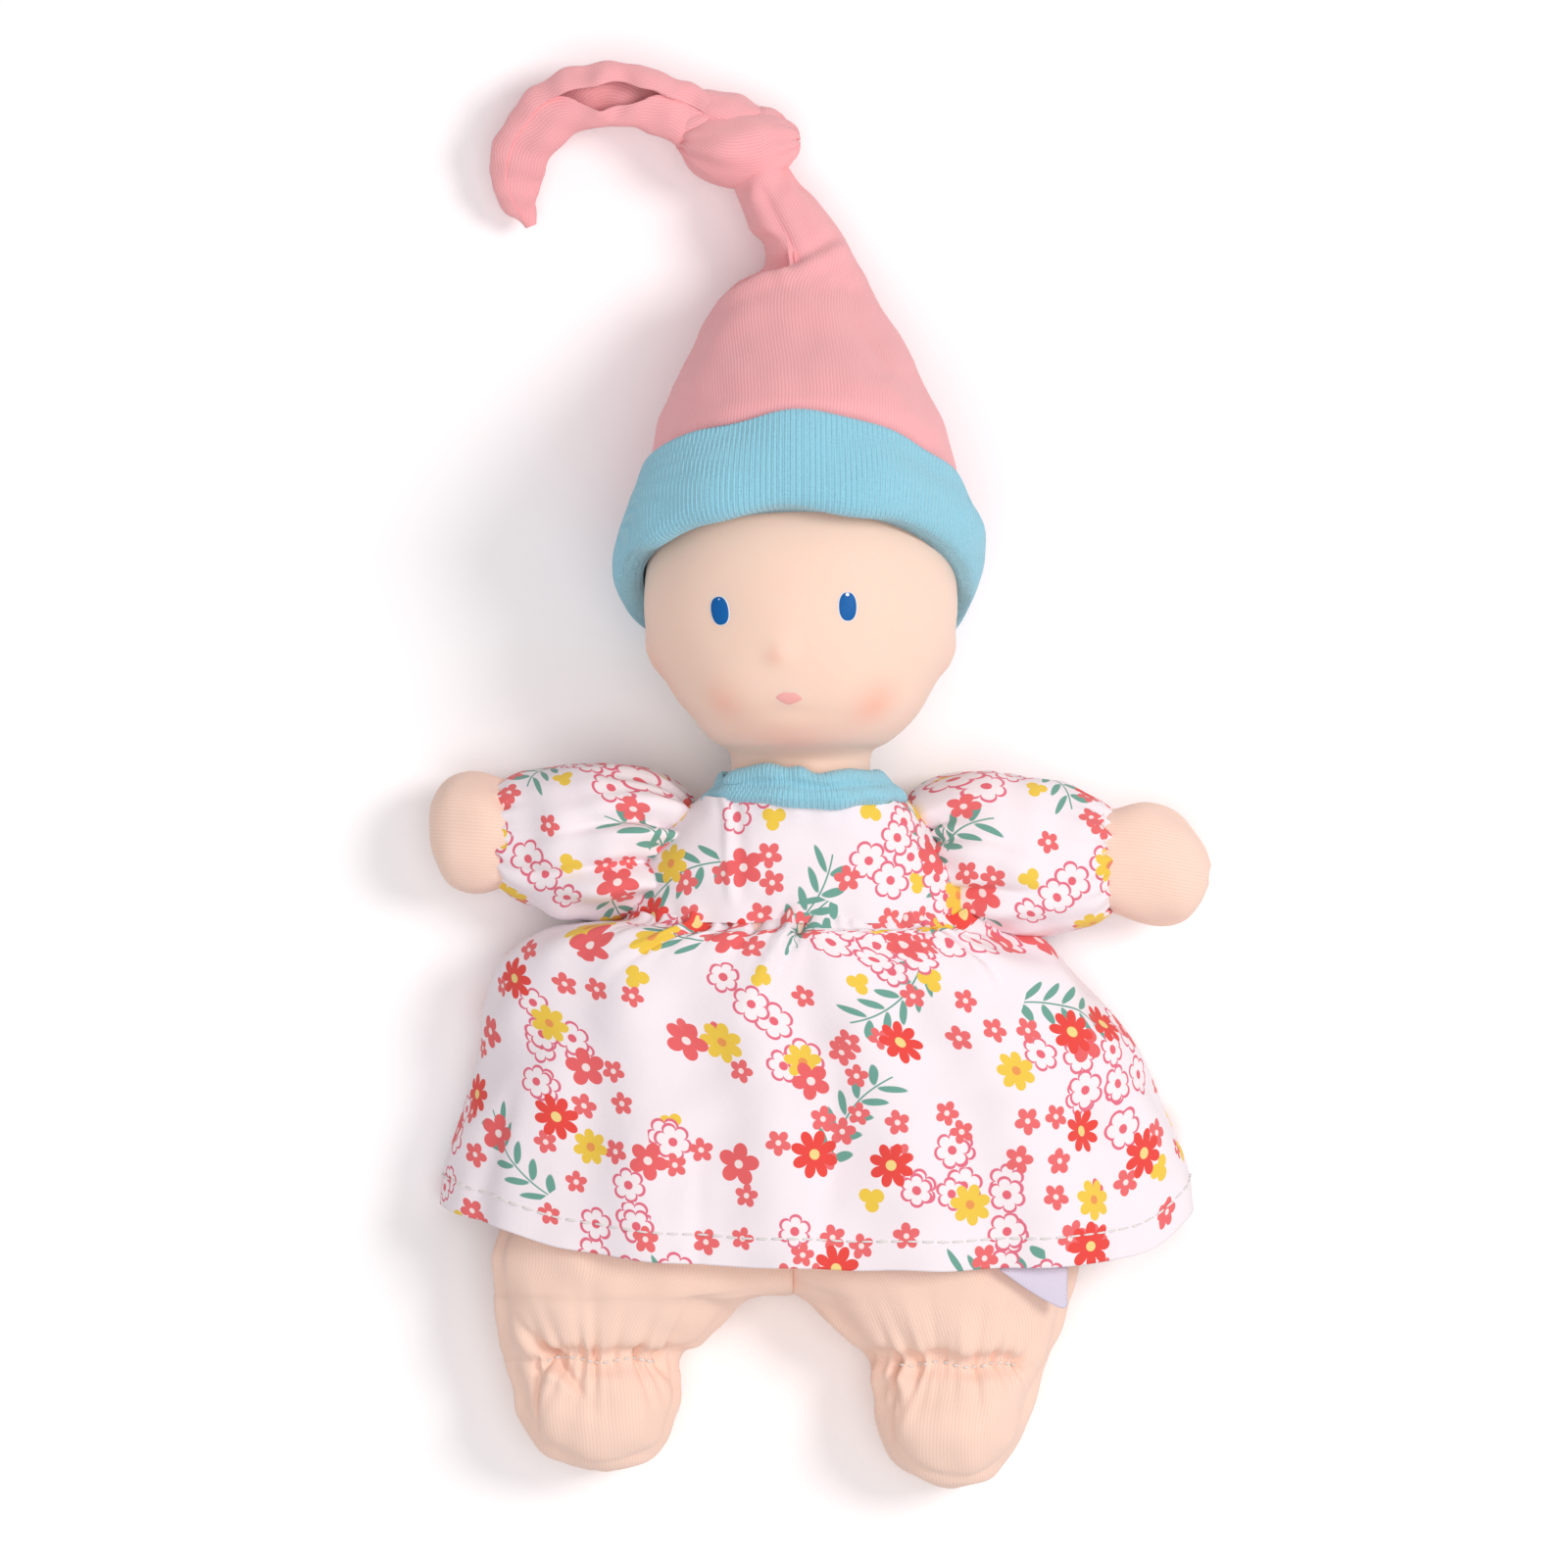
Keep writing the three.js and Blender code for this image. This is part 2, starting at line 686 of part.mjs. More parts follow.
// Sleeves: puffs of cotton round the arms, drawn in on an elastic at the cuff.
const cuffInner = armWidth / 2 + clearance + elasticThickness + clearance;
const cuffReach = wristReach;
function sleeveStations({ sign, rise, stretch, pivot }) {
  const place = (along, lift, radius, swing, low, high) => ({
    x: pivot.x + sign * along * stretch,
    y: pivot.y + rise * along + lift,
    halfWidth: radius,
    low,
    high,
    power: 2.1,
    rest: dressBack,
    turn: Math.PI / 2 + sign * swing,
  });
  const puff = puffWidth / 2;
  const cuff = cuffInner + cottonThickness;
  return [
    place(0.6, -0.6, puff * 0.84, 0.55, 2.5, puffDepth),
    place(cuffReach * 0.23, 0, puff * 0.97, 0.3, -0.5, puffDepth + 1.4),
    place(cuffReach * 0.525, 0, puff, 0.05, -0.8, puffDepth + 1),
    place(cuffReach * 0.82, 0, puff * 0.9, 0, -0.3, puffDepth - 1.5),
    place(cuffReach - elasticWidth - 0.4, 0, cuff, 0, armHeight - cuff, armHeight + cuff),
    place(cuffReach, 0, cuff, 0, armHeight - cuff, armHeight + cuff),
  ];
}
const sleeveCount = 20;
for (const shoulder of shoulders) {
  const row = smooth(sleeveStations(shoulder), 2);
  const sleeve = shell(rings(row, 0, sleeveCount), rings(row, cottonThickness, sleeveCount), false);
  add(`${shoulder.side}_sleeve`, sleeve, cottonWhite);
  const bandRow = [cuffReach - elasticWidth, cuffReach].map((along) => ({
    ...row[row.length - 1],
    x: shoulder.pivot.x + shoulder.sign * along * shoulder.stretch,
    y: shoulder.pivot.y + shoulder.rise * along,
    power: 2,
  }));
  const elasticOuter = cottonThickness + clearance * 1.3;
  const elasticInner = elasticOuter + elasticThickness * 0.8;
  const elasticRings = [elasticOuter, elasticInner].map((inset) => rings(bandRow, inset, sleeveCount));
  add(`${shoulder.side}_sleeve_elastic`, shell(...elasticRings, false), threadWhite);
}

// Skirt: gathered to the bodice, spread flat on the floor with the doll, its front in soft folds.
const hemRise = 12;
const hemCorner = { left: 10, right: 2.4 };
const gatherWidth = bodiceStation(bodiceBottom).halfWidth;
const skirtHalf = skirtWidth / 2;
function skirtStation(fall, x, width, high, widest) {
  return {
    x: skirtShift * x,
    y: waistY - skirtLength * fall,
    halfWidth: width,
    low: -1.2,
    high,
    widest,
    power: 2.4,
    fall,
  };
}
const skirtTop = torsoHigh + clothRoom + bodiceEase;
const skirtRow = smooth([
  skirtStation(0, -0.1, gatherWidth + 0.4, skirtTop, skirtTop * 0.47),
  skirtStation(0.045, -1.5, skirtHalf * 0.585, skirtTop + 1, skirtTop * 0.42),
  skirtStation(0.125, -1.4, skirtHalf * 0.72, skirtTop + 1.4, skirtTop * 0.36),
  skirtStation(0.255, -0.6, skirtHalf * 0.8, skirtTop + 1, skirtTop * 0.3),
  skirtStation(0.44, 0.5, skirtHalf * 0.87, skirtTop + skirtRoom, flankHeight + 2),
  skirtStation(0.66, 0.85, skirtHalf * 0.93, skirtTop, flankHeight + 1),
  skirtStation(0.86, 1, skirtHalf * 0.985, skirtTop - skirtRoom, flankHeight),
  skirtStation(1, 1.05, skirtHalf, skirtTop - 2 * skirtRoom, flankHeight),
], 1);
const skirtCount = 96;
const backPower = 5;
const foldGrowth = 3;
function skirtRing(station, inset) {
  const { fall, halfWidth, low, high, widest, power } = station;
  const points = [];
  for (let k = 0; k < skirtCount; k += 1) {
    const angle = (2 * Math.PI * k) / skirtCount;
    const shape = Math.sin(angle) < 0 ? backPower : power;
    const across = powered(Math.cos(angle), shape);
    const up = powered(Math.sin(angle), shape);
    const phase = Math.PI * foldCount * (across - foldLean * fall);
    const fold = foldDepth * (0.5 - 0.5 * Math.cos(phase)) * Math.max(up, 0) ** 0.5;
    const corner = across > 0 ? hemCorner.left : hemCorner.right;
    const rise = hemRise * fall * Math.abs(across) ** corner;
    const reach = up > 0 ? high - widest : widest - low;
    const z = widest + up * (reach - inset) + fold * Math.min(foldGrowth * fall, 1);
    points.push(new THREE.Vector3(
      station.x + across * (halfWidth - inset),
      station.y + rise,
      Math.max(z, dressBack + inset),
    ));
  }
  return points;
}
const skirtOuter = skirtRow.map((station) => skirtRing(station, 0));
const skirtInner = skirtRow.map((station) => skirtRing(station, cottonThickness));
add('skirt', shell(skirtOuter, skirtInner, false), cottonWhite);

// Hat cuff: a rib band folded double, its round fold at the bottom, leaning up over the forehead.
const cuffInsideWidth = headWidth / 2 + 1.2;
const cuffBottomY = chinY + headHeight * 0.455;
const cuffTopY = cuffBottomY + cuffHeight;
function cuffStation(rise, spread) {
  return {
    x: 0,
    y: cuffBottomY + cuffHeight * rise,
    halfWidth: cuffInsideWidth + cuffThickness + spread,
    low: -0.4,
    high: headFront + cuffThickness + 0.7 + spread,
    power: 2.1,
    rest: 0,
    lean: cuffLean,
  };
}
const cuffFold = 1.1;
const cuffRow = [
  cuffStation(0, -cuffFold),
  cuffStation(0.06, 0.2),
  cuffStation(0.3, 0.7),
  cuffStation(0.65, -0.3),
  cuffStation(1, -2.4),
];
const hatCount = 24;
const cuffInsides = cuffRow.map((station, i) => (
  ring(station, cuffThickness - (i === 0 ? cuffFold : 0), hatCount)
));
add('hat_cuff', shell(rings(cuffRow, 0, hatCount), cuffInsides, false), ribTurquoise);

// Hat crown: a tube of jersey that starts inside the cuff and narrows to the knot, flopping to the floor.
const tuckDepth = 4;
const crownTuck = cuffThickness + clearance * 1.3;
function crownStation(rise, x, width, low, high, lean) {
  const y = cuffTopY + crownHeight * rise;
  return { x, y, halfWidth: width, low, high, power: 2.1, rest: 0, lean };
}
const crownRow = smooth([
  {
    ...cuffStation(1 - tuckDepth / cuffHeight, -1.6 - crownTuck),
    low: -0.4 + crownTuck,
    high: headFront + 0.7 - clearance * 1.3 - 1.4,
    rest: crownTuck,
    x: 0,
  },
  { ...cuffStation(1, -2.4 - crownTuck), low: -0.4 + crownTuck, high: headFront - 2.6, rest: crownTuck },
  crownStation(0.08, 0, headWidth * 0.485, 3.4, headFront * 0.965, 0.36),
  crownStation(0.2, 0, headWidth * 0.48, 3, headFront * 0.92, 0.26),
  crownStation(0.36, -0.2, headWidth * 0.42, 2, headFront * 0.79, 0.16),
  crownStation(0.54, 0, headWidth * 0.31, 1.6, headFront * 0.62, 0.08),
  crownStation(0.67, 2.4, headWidth * 0.21, 1.6, headFront * 0.485, 0),
  crownStation(0.82, 1.4, headWidth * 0.15, 2, headFront * 0.35, 0),
  crownStation(0.935, -crownFlop * 0.54, headWidth * 0.125, 4, headFront * 0.3, 0),
  crownStation(1, -crownFlop, headWidth * 0.1, headFront * 0.1, headFront * 0.28, 0),
], 1);
add('hat_crown', cup(crownRow, jerseyThickness, hatCount), jerseyPink);

// Knot: one loop of the tube drawn tight round itself.
const crownEnd = crownRow[crownRow.length - 1];
const knotRadius = knotWidth / 2;
const knot = new THREE.Vector3(
  crownEnd.x - knotRadius * 0.5,
  crownEnd.y + clearance + knotRadius * 0.98,
  knotWidth * 0.58,
);
const core = new THREE.SphereGeometry(1, 18, 10);
core.scale(knotRadius * 1.08, knotRadius * 0.78, knotRadius * 0.86);
core.rotateZ(0.25);
core.translate(knot.x, knot.y, knot.z);
const loop = new THREE.TorusGeometry(knotRadius - knotBand * 0.36, knotBand / 2, 10, 20);
loop.rotateX(Math.PI / 2);
loop.scale(1.04, 1, 0.98);
loop.rotateZ(0.95);
loop.translate(knot.x, knot.y, knot.z);
add('hat_knot', toGeometry(toSolid(core).add(toSolid(loop))), jerseyPink);

// Tail: the flat end of the tube, curling away to the side over the floor.
const tailRoute = new THREE.CatmullRomCurve3([
  [-0.08, 0.07, 1],
  [-0.32, 0.185, 1.12],
  [-0.58, 0.22, 1.2],
  [-0.81, 0.12, 1.05],
  [-0.97, -0.06, 0.8],
  [-1, -0.235, 0.55],
  [-0.935, -0.37, 0.36],
].map(([across, up, height]) => new THREE.Vector3(
  knot.x + tailReach * across,
  knot.y + tailReach * up,
  knot.z * height,
)));
const tailSteps = 12;
const tailCount = 14;
const tailRow = [];
for (let step = 0; step <= tailSteps; step += 1) {
  const along = step / tailSteps;
  const centre = tailRoute.getPointAt(along);
  const heading = tailRoute.getTangentAt(along);
  const taper = step === tailSteps ? 0.45 : 0.72 + 0.28 * Math.sin(Math.PI * Math.min(along * 1.5, 0.62));
  tailRow.push({
    x: centre.x,
    y: centre.y,
    halfWidth: (tailWidth / 2) * taper,
    low: centre.z - tailThickness / 2,
    high: centre.z + tailThickness / 2,
    power: 2.6,
    turn: Math.atan2(heading.y, heading.x) + Math.PI / 2,
  });
}
const knotRoom = new THREE.SphereGeometry(1, 18, 10);
const roomScale = 1 + (2 * clearance) / knotRadius;
knotRoom.scale(knotRadius * 1.08 * roomScale, knotRadius * 0.8 * roomScale, knotRadius * 0.9 * roomScale);
knotRoom.rotateZ(0.25);
knotRoom.translate(knot.x, knot.y, knot.z);
const loopRoom = loop.clone().translate(-knot.x, -knot.y, -knot.z).scale(roomScale, roomScale, roomScale);
loopRoom.translate(knot.x, knot.y, knot.z);
const tail = withoutAll(body(rings(tailRow, 0, tailCount)), [knotRoom, loopRoom]);
add('hat_tail', tail, jerseyPink);

export default doll;
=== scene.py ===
import math
import bpy
import numpy as np
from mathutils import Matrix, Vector
from mathutils.bvhtree import BVHTree


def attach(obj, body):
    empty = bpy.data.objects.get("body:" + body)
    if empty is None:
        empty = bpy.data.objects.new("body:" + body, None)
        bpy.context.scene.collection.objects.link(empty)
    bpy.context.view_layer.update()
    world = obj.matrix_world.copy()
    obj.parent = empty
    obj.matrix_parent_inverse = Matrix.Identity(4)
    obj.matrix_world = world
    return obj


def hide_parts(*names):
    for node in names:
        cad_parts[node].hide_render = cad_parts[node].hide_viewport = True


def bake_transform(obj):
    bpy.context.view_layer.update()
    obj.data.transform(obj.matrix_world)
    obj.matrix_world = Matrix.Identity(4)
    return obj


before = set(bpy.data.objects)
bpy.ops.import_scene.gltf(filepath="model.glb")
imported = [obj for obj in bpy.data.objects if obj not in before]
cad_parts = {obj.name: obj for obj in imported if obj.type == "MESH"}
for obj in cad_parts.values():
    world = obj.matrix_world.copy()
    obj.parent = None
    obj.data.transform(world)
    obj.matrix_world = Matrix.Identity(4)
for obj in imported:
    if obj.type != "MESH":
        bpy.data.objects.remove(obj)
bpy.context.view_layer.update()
print("frame loaded,", len(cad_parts), "nodes")

mm = 0.001  # every shape below is written in millimetres


def stationRow(names, *rows, **same):
    # a list of stations from rows of values; what is alike in all of them is named last
    return [dict(zip(names.split(), row), **same) for row in rows]


def smoothRow(stations, steps):
    # fills in a row of stations so that every value in them follows one curve
    rows, last = [], len(stations) - 1
    for i in range(last):
        a, b, c, d = (stations[min(max(j, 0), last)] for j in (i - 1, i, i + 1, i + 2))
        for k in range(steps):
            t = k / steps
            rows.append({key: b[key] + 0.5 * t * (c[key] - a[key] + t * (
                2 * a[key] - 5 * b[key] + 4 * c[key] - d[key]
                + t * (3 * (b[key] - c[key]) + d[key] - a[key]))) for key in b})
    rows.append(dict(stations[-1]))
    return rows


def powered(value, power):
    return np.sign(value) * np.abs(value) ** (2 / power)


def ovalRows(row, count, power=2.2, backPower=None, span=None):
    # one ring of points for each station, from the back round by the +X side; span is the part of
    # the ring that is wanted, as two angles measured from +X towards the front
    angle = np.linspace(*span, count) if span else 2 * math.pi * np.arange(count) / count - math.pi / 2
    grid = np.zeros((len(row), count, 3))
    p = np.where(np.sin(angle) < 0, backPower or power, power)
    for i, s in enumerate(row):
        across = powered(np.cos(angle), p) * s["half"]
        middle, deep = (s["low"] + s["high"]) / 2, (s["high"] - s["low"]) / 2
        z = np.maximum(middle + powered(np.sin(angle), p) * deep, s.get("rest", 0))
        turn = s.get("turn", 0)
        grid[i, :, 0] = s["x"] + across * math.cos(turn)
        grid[i, :, 1] = s["y"] + across * math.sin(turn) + s.get("lean", 0) * (z - middle)
        grid[i, :, 2] = z
    return grid


def facing(grid, wrap=True, tube=False):
    # unit normals of a grid: away from the middle of each ring, or upwards on a flat cloth
    du = np.roll(grid, -1, 1) - np.roll(grid, 1, 1) if wrap else np.gradient(grid, axis=1)
    n = np.cross(du, np.gradient(grid, axis=0))
    n /= np.maximum(np.linalg.norm(n, axis=2, keepdims=True), 1e-9)
    away = n * (grid - grid.mean(1, keepdims=True)) if wrap or tube else n[..., 2]
    return -n if away.sum() < 0 else n


def lumps(points, size, seed):
    # soft unevenness of about one unit, made of waves through space
    rng = np.random.default_rng(seed)
    total = np.zeros(points.shape[:-1])
    for _ in range(12):
        way = rng.normal(size=3)
        way *= 2 * math.pi / (np.linalg.norm(way) * size * rng.uniform(0.7, 1.5))
        total += np.cos(points @ way + rng.uniform(0, 2 * math.pi))
    return total / math.sqrt(12)


def bell(distance, width):
    return np.exp(-(distance / width) ** 2)


def ease(value):
    t = np.clip(value, 0, 1)
    return t * t * (3 - 2 * t)


def ridges(phase, sharp):
    # ribs: rounded tops with narrow valleys, from 0 to 1
    return 1 - np.abs(np.cos(phase)) ** sharp


def lengthsAlong(path):
    # how far along a path each of its points lies
    return np.concatenate([[0], np.cumsum(np.linalg.norm(np.diff(path, axis=0), axis=1))])


def clothUv(grid, wrap):
    # flat place of every point in millimetres, measured from the front's middle line
    closed = np.concatenate([grid, grid[:, :1]], 1) if wrap else grid
    steps = np.linalg.norm(np.diff(closed, axis=1), axis=2)
    u = np.concatenate([np.zeros((len(grid), 1)), np.cumsum(steps, 1)], 1)
    middle = closed.shape[1] // 2
    u -= u[:, middle:middle + 1]
    return np.dstack([u, np.repeat(lengthsAlong(closed[:, middle])[:, None], u.shape[1], 1)])


def meshObject(name, points, faces, marks, material):
    # points in millimetres; marks are the flat places of each face's corners on the cloth
    mesh = bpy.data.meshes.new(name)
    mesh.from_pydata((points * mm).tolist(), [], faces)
    corners = np.array([corner for face in marks for corner in face])
    mesh.uv_layers.new(name="cloth").data.foreach_set("uv", corners.ravel().astype(np.float32))
    mesh.polygons.foreach_set("use_smooth", [True] * len(faces))
    mesh.materials.append(material)
    piece = bpy.data.objects.new(name, mesh)
    bpy.context.scene.collection.objects.link(piece)
    return piece


def gridObject(name, grid, material, wrap=True, caps=(), uv=None, loop=False, tube=False):
    # a smooth mesh from a grid of points: rows run along the piece, columns round it; caps are the
    # end rows to close, and loop joins the last row to the first
    rows, count = grid.shape[:2]
    points = grid.reshape(-1, 3)
    if uv is None:
        uv = clothUv(np.concatenate([grid, grid[:1]]) if loop else grid, wrap)
    faces, marks = [], []
    for i in range(rows if loop else rows - 1):
        for k in range(count if wrap else count - 1):
            n, j = (k + 1) % count, (i + 1) % rows
            faces.append((i * count + k, i * count + n, j * count + n, j * count + k))
            marks.append((uv[i, k], uv[i, k + 1], uv[i + 1, k + 1], uv[i + 1, k]))
    for i in caps:
        points = np.vstack([points, grid[i].mean(0)])
        start, turn = (0, -1) if i == 0 else ((rows - 1) * count, 1)
        for k in range(count):
            edge = (start + k, start + (k + 1) % count)
            ends = (uv[i, k], uv[i, k + 1])
            faces.append((len(points) - 1, *edge[::turn]))
            marks.append(((ends[0] + ends[1]) / 2, *ends[::turn]))
    a, b, c = (points[[f[j] for f in faces]] for j in range(3))
    if tube:
        middles = np.repeat(grid.mean(1), count, axis=0)
        volume = (np.cross(b - a, c - a) * (a - middles[[f[0] for f in faces]])).sum()
    else:
        volume = (a * np.cross(b, c)).sum() if wrap else np.cross(b - a, c - a)[:, 2].sum()
    if volume < 0:
        faces, marks = [f[::-1] for f in faces], [m[::-1] for m in marks]
    return meshObject(name, points, faces, marks, material)


def thicken(piece, thickness):
    # cloth of one thickness, grown inwards
    solid = piece.modifiers.new("thickness", "SOLIDIFY")
    solid.thickness = thickness * mm
    solid.offset = -1


def tubeAlong(route, radius, count):
    # rings of points round a route, with steady turning
    ways = np.gradient(route, axis=0)
    ways /= np.linalg.norm(ways, axis=1, keepdims=True)
    side = np.cross(ways[0], (0.0, 0.0, 1.0))
    if np.linalg.norm(side) < 0.1:
        side = np.cross(ways[0], (0.0, 1.0, 0.0))
    angle = 2 * math.pi * np.arange(count) / count
    grid = np.zeros((len(route), count, 3))
    for i, (centre, way, r) in enumerate(zip(route, ways, radius * np.ones(len(route)))):
        side = side - way * (side @ way)
        side /= np.linalg.norm(side)
        up = np.cross(side, way)
        grid[i] = centre + r * (np.outer(np.cos(angle), side) + np.outer(np.sin(angle), up))
    return grid


def joined(name, grids, material, spread=False):
    # several small capped tubes as one piece; spread lays the cloth's places out in millimetres
    points, faces, marks, start = [], [], [], 0
    for grid in grids:
        rows, count = grid.shape[:2]
        plain = np.dstack(np.meshgrid(np.arange(count + 1.0), np.arange(float(rows))))
        uv = clothUv(grid, True) if spread else plain
        points += [*grid.reshape(-1, 3), grid[0].mean(0), grid[-1].mean(0)]
        far, ends = start + (rows - 1) * count, start + rows * count
        for i in range(rows - 1):
            for k in range(count):
                at, n = start + i * count, (k + 1) % count
                faces.append((at + k, at + n, at + count + n, at + count + k))
                marks.append((uv[i, k], uv[i, k + 1], uv[i + 1, k + 1], uv[i + 1, k]))
        for k in range(count):
            n = (k + 1) % count
            faces += [(ends, start + n, start + k), (ends + 1, far + k, far + n)]
            marks += [[uv[0, k]] * 3, [uv[-1, k]] * 3]
        start = len(points)
    return meshObject(name, np.array(points), faces, marks, material)


def stitches(name, path, outward, look, material):
    # a running stitch: short rounded threads that dip into the cloth at both ends
    along = lengthsAlong(path)
    taper = np.array([0.5, 0.9, 1, 1, 1, 0.9, 0.5])
    rise = look["lift"] * np.sin(np.linspace(0.06, 0.94, 7) * math.pi)[:, None]
    parts, at = [], look["pitch"] / 2
    while at + look["length"] < along[-1]:
        t = np.linspace(at, at + look["length"], 7)
        line, way = (np.stack([np.interp(t, along, p[:, k]) for k in range(3)], 1) for p in (path, outward))
        parts.append(tubeAlong(line + way * rise, look["thread"] / 2 * taper, 7))
        at += look["pitch"]
    return joined(name, parts, material)


def paint(code):
    # a colour written as on a paint chart, turned into the numbers a shader wants
    parts = [int(code[i:i + 2], 16) / 255 for i in (1, 3, 5)]
    return (*[p / 12.92 if p <= 0.04045 else ((p + 0.055) / 1.055) ** 2.4 for p in parts], 1)


class Amount:
    # a value inside a look's nodes, so that sums of it can be written as plain sums
    def __init__(self, node, output=0):
        self.node, self.tree, self.socket = node, node.id_data, node.outputs[output]

    def __add__(self, other):
        return calc("ADD", self, other)

    def __sub__(self, other):
        return calc("SUBTRACT", self, other)

    def __rsub__(self, other):
        return calc("SUBTRACT", other, self)

    def __mul__(self, other):
        return calc("MULTIPLY", self, other)

    def __truediv__(self, other):
        return calc("DIVIDE", self, other)

    def __pow__(self, other):
        return calc("POWER", self, other)

    def __abs__(self):
        return calc("ABSOLUTE", self)

    __radd__ = __add__

    def clamped(self):
        self.node.use_clamp = True
        return self


def plug(value, socket):
    if isinstance(value, Amount):
        value.tree.links.new(value.socket, socket)
    else:
        socket.default_value = value


def newNode(tree, kind, values=(), **settings):
    # one node with its settings; its values are plugged in by place or by name
    node = tree.nodes.new("ShaderNode" + kind)
    for name, setting in settings.items():
        setattr(node, name, setting)
    for key, value in values.items() if isinstance(values, dict) else enumerate(values):
        plug(value, node.inputs[key])
    return node


def calc(operation, *values):
    tree = next(value.tree for value in values if isinstance(value, Amount))
    return Amount(newNode(tree, "Math", values, operation=operation))


def mixColour(factor, first, second):
    return Amount(newNode(factor.tree, "Mix", {0: factor, 6: first, 7: second}, data_type="RGBA"), 2)


def clothPlace(tree):
    # the flat place on the cloth, and its u across and v along, in millimetres
    place = Amount(newNode(tree, "UVMap", uv_map="cloth"))
    parts = newNode(tree, "SeparateXYZ", (place,))
    return place, Amount(parts, 0), Amount(parts, 1)


def bodyPlace(tree):
    # where a point of a rigid piece is, in millimetres
    place = Amount(newNode(tree, "TexCoord"), "Object")
    return Amount(newNode(tree, "VectorMath", {0: place, "Scale": 1000}, operation="SCALE"))


def cloudy(place, size, detail=3.0):
    # uneven cloudy values from 0 to 1, one cloud every size millimetres
    return Amount(newNode(place.tree, "TexNoise", {"Vector": place, "Scale": 1 / size, "Detail": detail}))


def newLook(name, roughness, sheen, specular):
    material = bpy.data.materials.new(name)
    material.use_nodes = True
    inputs = material.node_tree.nodes["Principled BSDF"].inputs
    inputs["Roughness"].default_value = roughness
    inputs["Specular IOR Level"].default_value = specular
    inputs["Sheen Weight"].default_value = sheen
    inputs["Sheen Roughness"].default_value = 0.6
    return material, material.node_tree


def finishLook(material, colour, height, depth, **more):
    # colour and relief to the shader; depth is the relief in millimetres
    tree = material.node_tree
    inputs = tree.nodes["Principled BSDF"].inputs
    plug(colour, inputs["Base Color"])
    plug(Amount(newNode(tree, "Bump", {"Distance": depth * mm, "Height": height})), inputs["Normal"])
    for name, value in more.items():
        inputs[name].default_value = value
    return material


def walesHeight(u, v, look):
    # plain knitting: columns of small arrowheads, wale wide and course high
    column = calc("PINGPONG", u / look["wale"], 0.5)
    stitch = calc("PINGPONG", v / look["course"] + column, 0.5)
    return (column * 2.0) ** 0.6 * (0.7 + stitch * 0.6)


def knitLook(name, look):
    material, tree = newLook(name, 0.85, look["sheen"], 0.2)
    place, u, v = clothPlace(tree)
    loops = walesHeight(u, v, look)
    # the low parts of the loops get the darker groove colour: painted shade in the grooves between the
    # stitches
    colour = mixColour((loops * 1.0).clamped(), paint(look["groove"]), paint(look["base"]))
    return finishLook(material, colour, loops + cloudy(place, 0.5, 2.0) * 0.5, look["relief"])


bodyKnit = knitLook("body_knit_look", dict(
    base="#FFDFCE", groove="#FBD1BE", wale=0.72, course=0.62, relief=0.05, sheen=0.2))
pinkJersey = knitLook("pink_jersey_look", dict(
    base="#FFB8BB", groove="#F9A7AC", wale=0.7, course=0.62, relief=0.09, sheen=0.25))


def ribLook(look):
    # the ribs are in the mesh; the loops and the fluff on them are here, with the darker colour laid in the
    # low parts: painted shade in the grooves, and uneven tone from the fluff
    material, tree = newLook("turquoise_rib_look", 0.9, look["sheen"], 0.2)
    place, u, v = clothPlace(tree)
    loops = walesHeight(u, v, look)
    fuzz = cloudy(place, 0.45, 2.0)
    colour = mixColour(((loops + fuzz) * 0.6).clamped(), paint(look["groove"]), paint(look["base"]))
    return finishLook(material, colour, loops + fuzz * 1.5, look["relief"])


turquoiseRib = ribLook(dict(
    base="#9EDAED", groove="#80C4DA", wale=0.58, course=0.8, relief=0.14, sheen=0.45))


def scattered(place, cell, shiftBy, spread):
    # one motif in every cell of the cloth: how far and which way it is from the motif's middle,
    # three chances for its turn, kind and size, and the grove of motifs that it stands in
    tree = place.tree
    moved = Amount(newNode(tree, "VectorMath", (
        place, (1 / cell, 1 / cell, 0), (shiftBy, shiftBy * 1.7, 0)), operation="MULTIPLY_ADD"))
    cells = newNode(tree, "TexVoronoi", {
        "Vector": moved, "Scale": 1.0, "Randomness": spread}, voronoi_dimensions="2D")
    middle = Amount(cells, "Position")
    away = Amount(newNode(tree, "VectorMath", (moved, middle), operation="SUBTRACT"))
    parts = newNode(tree, "SeparateXYZ", (away,))
    chance = newNode(tree, "SeparateColor", (Amount(cells, "Color"),))
    x, y = Amount(parts, 0) * cell, Amount(parts, 1) * cell
    onCloth = Amount(newNode(tree, "VectorMath", (
        middle, (cell, cell, 0), (-shiftBy * cell, -shiftBy * 1.7 * cell, 0)), operation="MULTIPLY_ADD"))
    return dict(angle=calc("ARCTAN2", y, x) + Amount(chance, 0) * (2 * math.pi),
                radius=calc("SQRT", x * x + y * y), pick=Amount(chance, 1), size=Amount(chance, 2),
                grove=cloudy(onCloth, 26.0, 0.0))


def inside(edge, value, crisp=7.0):
    return ((edge - value) * crisp).clamped()


def between(value, low, high):
    return calc("GREATER_THAN", value, low) * calc("LESS_THAN", value, high)


